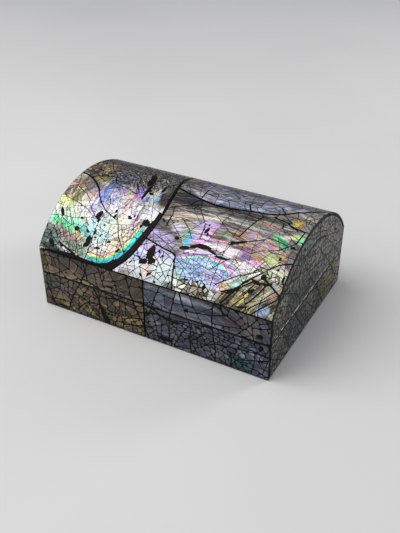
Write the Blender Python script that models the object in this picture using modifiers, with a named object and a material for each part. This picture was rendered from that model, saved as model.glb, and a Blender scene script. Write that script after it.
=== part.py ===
"""A small box with a barrel-domed lift-off lid, veneered in cracked pearl shell.

The base is a wooden tray and the lid is a hollow wooden cap. Sheets of shell set in black resin
are glued over both. Metres, +Z up, the front faces -Y, and the origin is
at the middle of the underside.
"""

import math

import bmesh
import bpy

# Outside of the closed box, over the shell.
LENGTH = 0.150
DEPTH = 0.110
SEAM_HEIGHT = 0.0242
LID_SIDE_HEIGHT = 0.0162
DOME_RISE = 0.0292

# Thicknesses.
SHELL = 0.0012
WALL = 0.0065
FLOOR = 0.0045

# Clearances between pieces.
GLUE_LINE = 0.0003
SHEET_GAP = 0.0004
SEAM_GAP = 0.0003
TABLE_GAP = 0.0004

# The tray's inner lip keeps the lid in place, and the lid has a rebate for it.
LIP_HEIGHT = 0.0030
LIP_THICKNESS = 0.0025
LIP_CLEARANCE = 0.0004

# Chamfers on the edges.
LIP_EDGE = 0.0006
SHEET_EDGE = 0.0003

# The front's brown sheets run this far from the left end, and the blue ones take the rest.
BROWN_SHEET_LENGTH = 0.0721

# Joint lines on the dome. A point is (share of LENGTH from the middle, share of the arc from the
# crown): -1 is the front crease of the dome and 1 is the back one.
LEFT_SHELL_EDGE = (
    (-0.118, 1.08), (-0.105, 0.50), (-0.092, 0.173), (-0.079, 0.034), (-0.063, -0.136),
    (-0.050, -0.352), (-0.062, -0.600), (-0.098, -0.832), (-0.157, -0.995), (-0.192, -1.08),
)
BACK_SHELL_EDGE = (
    (-0.140, 0.12), (-0.067, 0.017), (0.033, -0.060), (0.133, -0.099), (0.250, -0.060),
    (0.350, -0.003), (0.417, 0.133), (0.492, 0.325), (0.540, 0.450),
)
MIDDLE_SHELL_EDGE = (
    (-0.240, -0.590), (-0.090, -0.630), (0.020, -0.685), (0.068, -0.705), (0.078, -0.750),
    (0.090, -0.860), (0.104, -0.986), (0.114, -1.08),
)

# Facets.
ARC_STEPS = 36
LINE_STEPS = 6

# How far a cutter runs past what it cuts.
PAST = 0.010

BLACK_WOOD = ("black_wood", (0.012, 0.010, 0.010), 0.45)
BROWN_SHELL = ("brown_shell", (0.20, 0.16, 0.11), 0.25)
BLUE_SHELL = ("blue_shell", (0.15, 0.17, 0.24), 0.25)
GREY_SHELL = ("grey_shell", (0.19, 0.20, 0.21), 0.25)
PEARL_SHELL = ("pearl_shell", (0.72, 0.74, 0.76), 0.2)

# What follows from the sizes above.
HALF_LENGTH = LENGTH / 2
HALF_DEPTH = DEPTH / 2
RIDGE_HEIGHT = SEAM_HEIGHT + LID_SIDE_HEIGHT
INSET = SHELL + GLUE_LINE  # from the outside to the wood
BASE_TOP = SEAM_HEIGHT - SEAM_GAP / 2
LID_BOTTOM = SEAM_HEIGHT + SEAM_GAP / 2
DOME_RADIUS = (HALF_DEPTH ** 2 + DOME_RISE ** 2) / (2 * DOME_RISE)
DOME_CENTRE = RIDGE_HEIGHT + DOME_RISE - DOME_RADIUS
CREASE_ANGLE = math.asin(HALF_DEPTH / DOME_RADIUS)


def material(name, colour, roughness):
    """The named Principled material, made the first time that it is asked for."""
    found = bpy.data.materials.get(name)
    if found:
        return found
    made = bpy.data.materials.new(name)
    made.use_nodes = True
    shader = made.node_tree.nodes["Principled BSDF"]
    shader.inputs["Base Color"].default_value = (*colour, 1.0)
    shader.inputs["Roughness"].default_value = roughness
    shader.inputs["Metallic"].default_value = 0.0
    return made


def collection(name):
    made = bpy.data.collections.new(name)
    bpy.context.scene.collection.children.link(made)
    return made


def move_to(obj, target):
    """Puts obj in the target collection only."""
    for old in list(obj.users_collection):
        old.objects.unlink(obj)
    target.objects.link(obj)
    return obj


def block(name, x, y, z):
    """A box between the given (low, high) limits along each axis, with its scale applied."""
    centre = [(low + high) / 2 for low, high in (x, y, z)]
    bpy.ops.mesh.primitive_cube_add(size=1, location=centre)
    obj = bpy.context.active_object
    obj.name = name
    obj.scale = [high - low for low, high in (x, y, z)]
    bpy.ops.object.transform_apply(location=False, rotation=False, scale=True)
    return obj


def flat_outline(name, points, thickness):
    """A closed flat outline in its own XY plane, thickened along its Z, as a mesh object."""
    curve = bpy.data.curves.new(name, "CURVE")
    curve.dimensions = "2D"
    curve.fill_mode = "BOTH"
    curve.extrude = thickness / 2
    spline = curve.splines.new("POLY")
    spline.points.add(len(points) - 1)
    for point, (u, v) in zip(spline.points, points):
        point.co = (u, v, 0, 1)
    spline.use_cyclic_u = True
    drawn = bpy.data.objects.new(name + "_outline", curve)
    bpy.context.scene.collection.objects.link(drawn)
    bpy.context.view_layer.update()
    evaluated = drawn.evaluated_get(bpy.context.evaluated_depsgraph_get())
    obj = bpy.data.objects.new(name, bpy.data.meshes.new_from_object(evaluated))
    obj.matrix_world = drawn.matrix_world
    bpy.data.objects.remove(drawn)
    bpy.data.curves.remove(curve)
    bpy.context.scene.collection.objects.link(obj)
    weld(obj)
    return obj


def weld(obj):
    """Joins the loose caps of a former curve to its sides."""
    work = bmesh.new()
    work.from_mesh(obj.data)
    bmesh.ops.remove_doubles(work, verts=work.verts, dist=1e-6)
    bmesh.ops.recalc_face_normals(work, faces=work.faces)
    work.to_mesh(obj.data)
    work.free()


def section(name, points, low, high):
    """A (y, z) outline of the box's cross section, drawn out along X from low to high."""
    obj = flat_outline(name, points, high - low)
    obj.location = ((low + high) / 2, 0, 0)
    obj.rotation_euler = (math.pi / 2, 0, math.pi / 2)
    return obj


def plan(name, points):
    """An (x, y) outline drawn straight up, as tall as the box and past it at both ends."""
    top = RIDGE_HEIGHT + DOME_RISE + PAST
    obj = flat_outline(name, points, top + PAST)
    obj.location = (0, 0, (top - PAST) / 2)
    return obj


def cut(obj, cutter, operation="DIFFERENCE"):
    modifier = obj.modifiers.new(operation.lower() + "_" + cutter.name, "BOOLEAN")
    modifier.operation = operation
    modifier.object = cutter
    return obj


def bevel(obj, width):
    modifier = obj.modifiers.new("edges", "BEVEL")
    modifier.width = width
    modifier.segments = 1
    modifier.limit_method = "ANGLE"
    modifier.angle_limit = math.radians(40)
    return obj


def arc(radius, angle):
    """Points of the dome's arc at that radius, from the back at +angle to the front at -angle."""
    turns = [angle * (1 - 2 * i / ARC_STEPS) for i in range(ARC_STEPS + 1)]
    return [(radius * math.sin(a), DOME_CENTRE + radius * math.cos(a)) for a in turns]


def arch(half_width, radius, bottom):
    """A cross section with upright sides from bottom up, under an arc about the dome's centre."""
    return [(-half_width, bottom), (half_width, bottom)] + arc(radius, math.asin(half_width / radius))


def smooth(points):
    """A Catmull-Rom line through the points."""
    line = []
    for i in range(1, len(points) - 2):
        before, start, end, after = points[i - 1:i + 3]
        for step in range(LINE_STEPS):
            t = step / LINE_STEPS
            line.append(tuple(
                0.5 * (2 * b + (c - a) * t + (2 * a - 5 * b + 4 * c - d) * t * t
                       + (3 * b - a - 3 * c + d) * t ** 3)
                for a, b, c, d in zip(before, start, end, after)))
    return line + [points[-2]]


def joint_line(shares, shift):
    """A dome joint line seen in plan, moved by shift to the left of its own direction."""
    ends = (shares[0], *shares, shares[-1])
    line = [(LENGTH * u, DOME_RADIUS * math.sin(CREASE_ANGLE * v)) for u, v in smooth(ends)]
    moved = []
    for i, (x, y) in enumerate(line):
        ahead = line[min(i + 1, len(line) - 1)]
        behind = line[max(i - 1, 0)]
        along = (ahead[0] - behind[0], ahead[1] - behind[1])
        size = math.hypot(*along)
        moved.append((x - shift * along[1] / size, y + shift * along[0] / size))
    return moved


def left_side(name, shift):
    """The plan area to the left of the round left shell's edge, grown by shift."""
    line = joint_line(LEFT_SHELL_EDGE, shift)
    far = -HALF_LENGTH - PAST
    front = -HALF_DEPTH - PAST
    back = HALF_DEPTH + PAST
    return plan(name, [(line[0][0], back), *line, (line[-1][0], front), (far, front), (far, back)])


def back_side(name, shift):
    """The plan area behind the long back shell's edge, grown by shift."""
    line = joint_line(BACK_SHELL_EDGE, -shift)
    return plan(name, [*line, (line[-1][0], HALF_DEPTH + PAST), (line[0][0], HALF_DEPTH + PAST)])


def middle_corner(name, shift):
    """The plan area of the small front shell between the round one and the right one."""
    line = joint_line(MIDDLE_SHELL_EDGE, shift)
    front = -HALF_DEPTH - PAST
    return plan(name, [*line, (line[-1][0], front), (line[0][0], front)])


def dome_sheet(name):
    """The whole curved skin of the dome, before the joints are cut in it."""
    angle = CREASE_ANGLE - SHEET_GAP / 2 / DOME_RADIUS
    outside = arc(DOME_RADIUS, angle)
    inside = arc(DOME_RADIUS - SHELL, angle)
    return section(name, outside[::-1] + inside, -HALF_LENGTH, HALF_LENGTH)


def mitre_height(y):
    """Top of an upright lid sheet at depth y: half a joint below the dome sheets' radial edge."""
    return DOME_CENTRE + abs(y) / math.tan(CREASE_ANGLE) - SHEET_GAP / 2 / math.sin(CREASE_ANGLE)


def side_sheet(name, side, low, high, bottom, top=None):
    """An upright sheet along the front (side -1) or the back (side 1), from low to high in X.
    With no top it runs up to the dome's crease."""
    outer = side * HALF_DEPTH
    inner = side * (HALF_DEPTH - SHELL)
    tops = (top or mitre_height(outer), top or mitre_height(inner))
    return section(name, [(outer, bottom), (inner, bottom), (inner, tops[1]), (outer, tops[0])], low, high)


def end_limits(side):
    """The X limits of a sheet on the left end (side -1) or the right end (side 1)."""
    return sorted((side * (HALF_LENGTH - SHELL), side * HALF_LENGTH))


def end_half_width():
    """Half the width of an end sheet, which stands between the front and back sheets."""
    return HALF_DEPTH - SHELL - SHEET_GAP


def base_carcass():
    """The wooden tray with its inner lip."""
    x = HALF_LENGTH - INSET
    y = HALF_DEPTH - INSET
    inside_x = x - WALL
    inside_y = y - WALL
    lip_x = inside_x + LIP_THICKNESS
    lip_y = inside_y + LIP_THICKNESS
    middle = (FLOOR + BASE_TOP) / 2
    tray = block("base_carcass", (-x, x), (-y, y), (0, BASE_TOP))
    lip = block("lip_shape", (-lip_x, lip_x), (-lip_y, lip_y), (middle, SEAM_HEIGHT + LIP_HEIGHT))
    hollow = block("tray_hollow", (-inside_x, inside_x), (-inside_y, inside_y),
                   (FLOOR, SEAM_HEIGHT + LIP_HEIGHT + PAST))
    bevel(lip, LIP_EDGE)
    cut(tray, lip, "UNION")
    cut(tray, hollow)
    return tray, (lip, hollow)


def lid_carcass():
    """The hollow wooden cap, with the rebate that fits over the tray's lip."""
    x = HALF_LENGTH - INSET
    y = HALF_DEPTH - INSET
    radius = DOME_RADIUS - INSET
    lip_room = LIP_THICKNESS + LIP_CLEARANCE
    cap = section("lid_carcass", arch(y, radius, LID_BOTTOM), -x, x)
    hollow = section("lid_hollow", arch(y - WALL, radius - WALL, LID_BOTTOM - PAST),
                     -x + WALL, x - WALL)
    rebate = block("lip_rebate", (-x + WALL - lip_room, x - WALL + lip_room),
                   (-y + WALL - lip_room, y - WALL + lip_room),
                   (LID_BOTTOM - PAST, SEAM_HEIGHT + LIP_HEIGHT + LIP_CLEARANCE))
    cut(cap, hollow)
    cut(cap, rebate)
    return cap, (hollow, rebate)


def front_sheets():
    """The brown and the blue front sheets, which the seam cuts into base and lid pieces."""
    joint = -HALF_LENGTH + BROWN_SHEET_LENGTH
    spans = {
        "brown": (-HALF_LENGTH, joint - SHEET_GAP / 2),
        "blue": (joint + SHEET_GAP / 2, HALF_LENGTH),
    }
    base = {c: side_sheet(f"base_front_{c}_shell", -1, *spans[c], TABLE_GAP, BASE_TOP) for c in spans}
    lid = {c: side_sheet(f"lid_front_{c}_shell", -1, *spans[c], LID_BOTTOM) for c in spans}
    return base, lid


def back_sheets():
    base = side_sheet("base_back_shell", 1, -HALF_LENGTH, HALF_LENGTH, TABLE_GAP, BASE_TOP)
    lid = side_sheet("lid_back_shell", 1, -HALF_LENGTH, HALF_LENGTH, LID_BOTTOM)
    return base, lid


def end_sheets(word, side):
    """The base and lid sheets of one end."""
    y = end_half_width()
    base = block(f"base_{word}_shell", end_limits(side), (-y, y), (TABLE_GAP, BASE_TOP))
    outline = arch(y, DOME_RADIUS - SHELL - SHEET_GAP, LID_BOTTOM)
    lid = section(f"lid_{word}_shell", outline, *end_limits(side))
    return base, lid


def dome_sheets():
    """The four shells over the dome, each cut from the whole skin along the joint lines."""
    near, far = -SHEET_GAP / 2, SHEET_GAP / 2
    left = left_side("left_shell_area", near)
    left_and_joint = left_side("left_shell_area_and_joint", far)
    back = back_side("back_shell_area", near)
    back_and_joint = back_side("back_shell_area_and_joint", far)
    middle = middle_corner("middle_shell_area", near)
    middle_and_joint = middle_corner("middle_shell_area_and_joint", far)

    left_shell = cut(dome_sheet("lid_top_left_shell"), left, "INTERSECT")
    back_shell = cut(dome_sheet("lid_top_back_shell"), left_and_joint)
    cut(back_shell, back, "INTERSECT")
    middle_shell = cut(dome_sheet("lid_top_middle_shell"), left_and_joint)
    cut(middle_shell, middle, "INTERSECT")
    right_shell = cut(dome_sheet("lid_top_right_shell"), left_and_joint)
    cut(right_shell, back_and_joint)
    cut(right_shell, middle_and_joint)
    shells = (left_shell, back_shell, middle_shell, right_shell)
    return shells, (left, left_and_joint, back, back_and_joint, middle, middle_and_joint)


def finish(obj, look, target):
    """Gives a piece its material and puts it in the box's collection."""
    obj.data.materials.clear()
    obj.data.materials.append(material(*look))
    obj.data.shade_smooth()
    obj.data.set_sharp_from_angle(angle=math.radians(30))
    move_to(obj, target)


def hide_cutter(obj, target):
    obj.hide_render = True
    obj.display_type = "WIRE"
    move_to(obj, target)


def build():
    for old in list(bpy.data.objects):
        bpy.data.objects.remove(old)
    box = collection("shell_box")
    cutters = collection("cutters")

    tray, tray_shapes = base_carcass()
    cap, cap_shapes = lid_carcass()
    base_front, lid_front = front_sheets()
    base_back, lid_back = back_sheets()
    base_left, lid_left = end_sheets("left", -1)
    base_right, lid_right = end_sheets("right", 1)
    dome, dome_shapes = dome_sheets()

    upright = (*base_front.values(), *lid_front.values(), base_back, lid_back,
               base_left, lid_left, base_right, lid_right)
    for sheet in upright:
        bevel(sheet, SHEET_EDGE)
    for piece in (tray, cap):
        finish(piece, BLACK_WOOD, box)
    for sheets in (base_front, lid_front):
        finish(sheets["brown"], BROWN_SHELL, box)
        finish(sheets["blue"], BLUE_SHELL, box)
    for sheet in (base_back, lid_back, base_left, lid_left, base_right, lid_right):
        finish(sheet, GREY_SHELL, box)
    for sheet in dome:
        finish(sheet, PEARL_SHELL, box)
    for shape in (*tray_shapes, *cap_shapes, *dome_shapes):
        hide_cutter(shape, cutters)


build()
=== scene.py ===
# %% [markdown]
# # A box veneered in cracked shell
# The object is a small casket with a barrel-domed lid that lifts off. A wooden carcass is covered
# with sheets of sea shell. The sheets were laid flat, so the curved shell cracked into little
# pieces, and black resin filled the cracks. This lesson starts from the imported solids, scores and
# lays the shell pieces over them, paints them, and sets up a small photographer's table.

import math
import random
from collections import namedtuple

import bmesh
import bpy
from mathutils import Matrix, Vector, noise


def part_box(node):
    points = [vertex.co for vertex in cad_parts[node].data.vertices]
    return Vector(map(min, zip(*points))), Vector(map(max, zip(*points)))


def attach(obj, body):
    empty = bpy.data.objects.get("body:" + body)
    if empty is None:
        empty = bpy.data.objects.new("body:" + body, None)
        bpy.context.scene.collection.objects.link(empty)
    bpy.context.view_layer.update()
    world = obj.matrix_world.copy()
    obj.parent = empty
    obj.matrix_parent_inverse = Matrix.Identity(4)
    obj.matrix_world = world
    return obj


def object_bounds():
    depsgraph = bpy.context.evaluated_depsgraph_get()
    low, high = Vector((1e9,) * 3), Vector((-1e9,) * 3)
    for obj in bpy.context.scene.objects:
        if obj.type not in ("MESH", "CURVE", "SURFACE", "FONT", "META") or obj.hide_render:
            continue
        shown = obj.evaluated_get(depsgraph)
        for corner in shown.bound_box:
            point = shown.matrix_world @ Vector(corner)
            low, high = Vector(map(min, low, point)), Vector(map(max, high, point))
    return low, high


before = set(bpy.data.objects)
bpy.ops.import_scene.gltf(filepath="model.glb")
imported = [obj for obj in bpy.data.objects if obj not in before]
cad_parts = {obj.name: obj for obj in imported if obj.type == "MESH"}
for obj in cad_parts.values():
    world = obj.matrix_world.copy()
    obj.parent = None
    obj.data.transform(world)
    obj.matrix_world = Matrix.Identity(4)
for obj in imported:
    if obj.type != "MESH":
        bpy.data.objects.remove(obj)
solids_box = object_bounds()
print("solids:", len(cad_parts), "box:", solids_box)

# %% [markdown]
# ## The faces of the box
# Shell is cut and laid as flat sheets, so every face is first drawn flat, in millimetres: u runs
# to the right as seen from outside, v runs up, and h stands out from the surface. Each face then
# has a rule that puts a flat point onto the box. The dome is drawn unrolled, with v along the arc
# from the front crease to the back one. Working flat and bending at the end keeps the pieces true
# to their size on the curve, which modelling straight onto the arc would not.

# %% Sizes of the faces
(low, high) = solids_box
LENGTH, DEPTH, HEIGHT = [1000 * (b - a) for a, b in zip(low, high)]
DOME_RISE = 29.2
RIDGE = HEIGHT - DOME_RISE
DOME_RADIUS = ((DEPTH / 2) ** 2 + DOME_RISE ** 2) / (2 * DOME_RISE)
DOME_CENTRE = HEIGHT - DOME_RADIUS
CREASE = math.asin(DEPTH / 2 / DOME_RADIUS)
ARC = 2 * CREASE * DOME_RADIUS
BASE_TOP = 1000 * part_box("base_front_blue_shell")[1][2]
LID_BOTTOM = 1000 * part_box("lid_front_blue_shell")[0][2]
print(f"dome radius {DOME_RADIUS:.1f}, arc {ARC:.1f}, seam {BASE_TOP:.2f} to {LID_BOTTOM:.2f} mm")


def on_front(u, v, h):
    return (u - LENGTH / 2, -DEPTH / 2 - h, v)


def on_back(u, v, h):
    return (LENGTH / 2 - u, DEPTH / 2 + h, v)


def on_right(u, v, h):
    return (LENGTH / 2 + h, u - DEPTH / 2, v)


def on_left(u, v, h):
    return (-LENGTH / 2 - h, DEPTH / 2 - u, v)


def on_dome(u, v, h):
    turn = (v - ARC / 2) / DOME_RADIUS
    out = DOME_RADIUS + h
    return (u - LENGTH / 2, out * math.sin(turn), DOME_CENTRE + out * math.cos(turn))


# %% [markdown]
# ## How shell crazes
# A sheet pressed flat cracks first across its longest way, and each part cracks again across its
# own, until the pieces are too small to break. New cracks stop at old ones, which gives the
# T-shaped meetings seen on the real box. A Voronoi pattern would be quicker, but its three-way
# meetings look like bubbles. So a flat outline is cut in two again and again by slanting lines.
# An outline is a list of corners, each with the width of the crack along the edge that leaves it.

# %% Trimming an outline by a straight line
def trim(outline, at, inward, crack=0.0):
    """The part of an outline on the side of the line through at that inward points to."""
    kept = []
    for i, (x, y, width) in enumerate(outline):
        nx, ny, _ = outline[(i + 1) % len(outline)]
        here = (x - at[0]) * inward[0] + (y - at[1]) * inward[1]
        there = (nx - at[0]) * inward[0] + (ny - at[1]) * inward[1]
        if here >= 0:
            kept.append((x, y, width))
        if (here >= 0) != (there >= 0):
            t = here / (here - there)
            kept.append((x + t * (nx - x), y + t * (ny - y), crack if here >= 0 else width))
    return kept


def area_of(outline):
    """The area and the middle of an outline."""
    total = cx = cy = 0.0
    for i, (x, y, *_) in enumerate(outline):
        nx, ny = outline[(i + 1) % len(outline)][:2]
        cross = x * ny - nx * y
        total += cross
        cx += (x + nx) * cross
        cy += (y + ny) * cross
    if abs(total) < 1e-9:
        return 0.0, outline[0][:2] if outline else (0.0, 0.0)
    return total / 2, (cx / (3 * total), cy / (3 * total))


def block(u0, v0, u1, v1):
    """A rectangular outline."""
    return [(u0, v0, 0.0), (u1, v0, 0.0), (u1, v1, 0.0), (u0, v1, 0.0)]


print("half a square:", area_of(trim(block(0, 0, 10, 10), (5, 5), (1, 0))))


# %% Cracking an outline into pieces
TRIES = 7
SLANT = 40.0  # degrees that a crack may lean from straight across
OFF_MIDDLE = 0.17  # how far from the middle a piece may break, as a share of its length
SIZE_SPREAD = (0.4, 2.0)  # how much the pieces' areas differ
CRACK_SPREAD = (0.7, 1.25)
CRACK_TAPER = 0.88  # each younger crack is finer than the one before it


def plumpness(piece):
    """High for a round or square piece, low for a splinter or a sharp triangle."""
    rim = sum(math.hypot(a[0] - b[0], a[1] - b[1]) for a, b in zip(piece, piece[1:] + piece[:1]))
    return area_of(piece)[0] / rim ** 2 if rim else 0.0


def halves(piece, dice):
    """The best of a few ways to crack a piece in two. The new edges have width -1."""
    middle = area_of(piece)[1]
    reach = []
    for k in range(12):
        way = (math.cos(math.pi * k / 12), math.sin(math.pi * k / 12))
        along = [x * way[0] + y * way[1] for x, y, _ in piece]
        reach.append((max(along) - min(along), way))
    length, way = max(reach)
    best = None
    for _ in range(TRIES):
        lean = math.radians(dice.uniform(-SLANT, SLANT))
        across = (way[0] * math.cos(lean) - way[1] * math.sin(lean),
                  way[0] * math.sin(lean) + way[1] * math.cos(lean))
        slide = dice.uniform(-OFF_MIDDLE, OFF_MIDDLE) * length
        at = (middle[0] + slide * way[0], middle[1] + slide * way[1])
        parts = (trim(piece, at, across, -1.0), trim(piece, at, (-across[0], -across[1]), -1.0))
        worth = min(map(plumpness, parts)) * dice.uniform(0.8, 1.2)
        if best is None or worth > best[0]:
            best = (worth, parts)
    return best[1]


def craze(outline, size_at, dice, widest, finest_at):
    """Cracks an outline until each piece is about size_at(u, v) millimetres across. Cracks get
    finer with age, down to finest_at(u, v)."""
    done, waiting = [], [(outline, 0)]
    while waiting:
        piece, age = waiting.pop()
        area, middle = area_of(piece)
        if area < size_at(*middle) ** 2 * dice.uniform(*SIZE_SPREAD):
            done.append(piece)
            continue
        crack = dice.uniform(*CRACK_SPREAD) * max(finest_at(*middle), widest * CRACK_TAPER ** age)
        for part in halves(piece, dice):
            waiting.append(([(x, y, crack if width < 0 else width) for x, y, width in part], age + 1))
    return done


def shrink_to_cracks(piece):
    """Takes half of each crack's width off the piece's edges."""
    shrunk = piece
    for i, (x, y, width) in enumerate(piece):
        nx, ny, _ = piece[(i + 1) % len(piece)]
        size = math.hypot(nx - x, ny - y)
        if size > 1e-6:
            inward = (-(ny - y) / size, (nx - x) / size)
            shrunk = trim(shrunk, (x + inward[0] * width / 2, y + inward[1] * width / 2), inward)
        if len(shrunk) < 3:
            return []
    return shrunk


# %% [markdown]
# Real cracks wander, and the corners of the pieces are worn. After the straight cuts the corners
# are cut back a little, every edge gets extra points, and the whole flat sheet is pushed about by
# a smooth noise, large and slow plus small and quick. Since neighbours are pushed the same way,
# the cracks between them keep their width.

# %% Making the cracks wander
EDGE_STEP = 1.5
SLOW_WAVE, SLOW_SWAY = 17, 2.6
QUICK_WAVE, QUICK_SWAY = 4.2, 0.42
NOISE_SEED = 4
noise.seed_set(NOISE_SEED)  # without a seed the cracks would differ from run to run


def wander(x, y, seed):
    """Where the noise pushes a place."""
    slow = noise.noise_vector(Vector((x / SLOW_WAVE, y / SLOW_WAVE, seed)))
    quick = noise.noise_vector(Vector((x / QUICK_WAVE, y / QUICK_WAVE, seed + 9.5)))
    return (x + SLOW_SWAY * slow[0] + QUICK_SWAY * quick[0],
            y + SLOW_SWAY * slow[1] + QUICK_SWAY * quick[1])


def blunted(piece, bite):
    """The outline with its corners cut back."""
    points = []
    for i, (x, y, *_) in enumerate(piece):
        for ox, oy, *_ in (piece[i - 1], piece[(i + 1) % len(piece)]):
            t = min(0.3, bite / max(1e-6, math.hypot(ox - x, oy - y)))
            points.append((x + t * (ox - x), y + t * (oy - y), 0.0))
    return points


def crooked(piece, seed):
    """The outline with points added along its edges, all moved by the noise."""
    points = []
    for i, (x, y, *_) in enumerate(piece):
        nx, ny = piece[(i + 1) % len(piece)][:2]
        steps = max(1, round(math.hypot(nx - x, ny - y) / EDGE_STEP))
        for k in range(steps):
            t = k / steps
            points.append((*wander(x + t * (nx - x), y + t * (ny - y), seed), 0.0))
    return points


def without_nicks(points, least=0.22):
    """Drops points that nearly coincide, and gives nothing for a crumb."""
    kept = []
    for point in points:
        if not kept or math.hypot(point[0] - kept[-1][0], point[1] - kept[-1][1]) > least:
            kept.append(point)
    while len(kept) > 3 and math.hypot(kept[0][0] - kept[-1][0], kept[0][1] - kept[-1][1]) < least:
        kept.pop()
    if len(kept) < 3 or area_of(kept)[0] < 0.5:
        return []
    return kept


# %% [markdown]
# ## Joints and long cracks
# Four shells meet on the dome, and each joint between them is a ribbon of black resin. The joint
# lines are the same as in the solids. A long crack is a line too, drawn where the real one runs.
# Both are smooth lines through a few points, and each small piece that one crosses is cut by the
# line's direction at that place, which is close enough at this size.

# %% Smooth lines across the pieces
def smooth(points, steps=6):
    """A smooth line through the points."""
    ends = [points[0], *points, points[-1]]
    line = []
    for before, start, end, after in zip(ends, ends[1:], ends[2:], ends[3:]):
        for step in range(steps):
            t = step / steps
            line.append(tuple(
                0.5 * (2 * b + (c - a) * t + (2 * a - 5 * b + 4 * c - d) * t * t
                       + (3 * b - a - 3 * c + d) * t ** 3)
                for a, b, c, d in zip(before, start, end, after)))
    return line + [points[-1]]


def nearest_on(line, x, y):
    """(distance to the line, a point of it, its leftward normal there, whether it ends there)."""
    best = None
    last = len(line) - 2
    for i, (a, b) in enumerate(zip(line, line[1:])):
        dx, dy = b[0] - a[0], b[1] - a[1]
        size = math.hypot(dx, dy)
        if size < 1e-9:
            continue
        t = ((x - a[0]) * dx + (y - a[1]) * dy) / size ** 2
        held = min(1.0, max(0.0, t))
        px, py = a[0] + held * dx, a[1] + held * dy
        away = math.hypot(x - px, y - py)
        if best is None or away < best[0]:
            ended = (i == 0 and t < 0) or (i == last and t > 1)
            best = (away, (px, py), (-dy / size, dx / size), ended)
    return best


def cut_by(pieces, line, gaps, applies=None):
    """Cuts each piece that the line crosses. gaps(u, v) tells how far the resin reaches to the
    left and to the right of the line there."""
    after = []
    for piece in pieces:
        middle = area_of(piece)[1]
        reach = max(math.hypot(x - middle[0], y - middle[1]) for x, y, _ in piece)
        away, at, left, ended = nearest_on(line, *middle)
        wide = gaps(*at)
        if away > reach + max(wide) or ended or (applies and not applies(*middle)):
            after.append(piece)
            continue
        for side, gap in zip((1, -1), wide):
            inward = (side * left[0], side * left[1])
            part = trim(piece, (at[0] + gap * inward[0], at[1] + gap * inward[1]), inward)
            if len(part) > 2 and area_of(part)[0] > 0.3:
                after.append(part)
    return after


def even(width):
    """The same crack width all along, half on each side."""
    return lambda x, y: (width / 2, width / 2)


def left_of(line, x, y):
    """True if the point lies to the left of the line, seen along it."""
    away, at, left, ended = nearest_on(line, x, y)
    return (x - at[0]) * left[0] + (y - at[1]) * left[1] > 0


# %% The joint lines of the dome
def unrolled(shares):
    """The solids give joint points as shares of the length and of the arc from the crown."""
    return [((0.5 + u) * LENGTH, (1 + v) * ARC / 2) for u, v in smooth(shares)]


LEFT_SHELL_EDGE = unrolled((
    (-0.118, 1.08), (-0.105, 0.50), (-0.092, 0.173), (-0.079, 0.034), (-0.063, -0.136),
    (-0.050, -0.352), (-0.062, -0.600), (-0.098, -0.832), (-0.157, -0.995), (-0.192, -1.08)))
BACK_SHELL_EDGE = unrolled((
    (-0.140, 0.12), (-0.067, 0.017), (0.033, -0.060), (0.133, -0.099), (0.250, -0.060),
    (0.350, -0.003), (0.417, 0.133), (0.492, 0.325), (0.540, 0.450)))
MIDDLE_SHELL_EDGE = unrolled((
    (-0.240, -0.590), (-0.090, -0.630), (0.020, -0.685), (0.068, -0.705), (0.078, -0.750),
    (0.090, -0.860), (0.104, -0.986), (0.114, -1.08)))
print("points on the left shell's edge:", len(LEFT_SHELL_EDGE))


# %% [markdown]
# ## Laying the pieces
# Each outline becomes a thin tile: a flat top, a small chamfer where the polishing rounded the
# edge, and sides that go down into the resin. All the tiles of a sheet are built flat in one mesh
# with bmesh. The flat mesh is then scored by parallel cuts, so that it can bend over the dome
# without facets, and each point is carried onto the box. The flat place of each point is kept as
# an attribute, because the finishes are painted in flat millimetres. Each tile also keeps a
# random lie, which the finish uses to tilt its sheen a little. Where a worm once bored the shell,
# or a flake fell out, resin filled the hole and was polished level, so there the tops of the tiles
# are cut along the hole's outline and turned to resin.

# %% Dark resin let into the shell
TILE_TOP = 0.10
TILE_FOOT = -0.35
CHAMFER_WIDTH = 0.05
CHAMFER_DROP = 0.05
SCORE_STEP = 2.0
SHARP_ANGLE = 24
BLOT_CORNERS = 9


def blot(middle, half, turn, dice, corners=BLOT_CORNERS):
    """An uneven oval outline, for a worm hole, or with few corners for a lost flake."""
    lean = math.radians(turn)
    outline = []
    for k in range(corners):
        angle = 2 * math.pi * (k + dice.uniform(-0.25, 0.25)) / corners
        grow = dice.uniform(0.84, 1.14)
        x, y = grow * half[0] * math.cos(angle), grow * half[1] * math.sin(angle)
        outline.append((middle[0] + x * math.cos(lean) - y * math.sin(lean),
                        middle[1] + x * math.sin(lean) + y * math.cos(lean)))
    return outline


def fill_with_resin(sheet, outline):
    """Cuts the tops of the flat tiles along a convex outline, and makes the inside resin."""
    middle = Vector([sum(c) / len(outline) for c in zip(*outline)])
    reach = max((Vector(p) - middle).length for p in outline)
    near = []
    for face in sheet.faces:
        centre = face.calc_center_median()
        if centre.z > TILE_TOP - 0.01 and (centre.xy - middle).length < reach + 6:
            near.append(face)
    sides = [(Vector(a), Vector(b)) for a, b in zip(outline, outline[1:] + outline[:1])]
    for start, end in sides:
        geom = list(dict.fromkeys(part for face in near for part in (face, *face.edges, *face.verts)))
        across = Vector((start.y - end.y, end.x - start.x, 0.0))
        cut = bmesh.ops.bisect_plane(sheet, geom=geom, dist=1e-4, plane_co=(*start, 0), plane_no=across)
        near = [part for part in cut["geom"] if isinstance(part, bmesh.types.BMFace)]
    for face in near:
        centre = face.calc_center_median().xy
        if all((end - start).cross(centre - start) >= 0 for start, end in sides):
            face.material_index = 1


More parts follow.
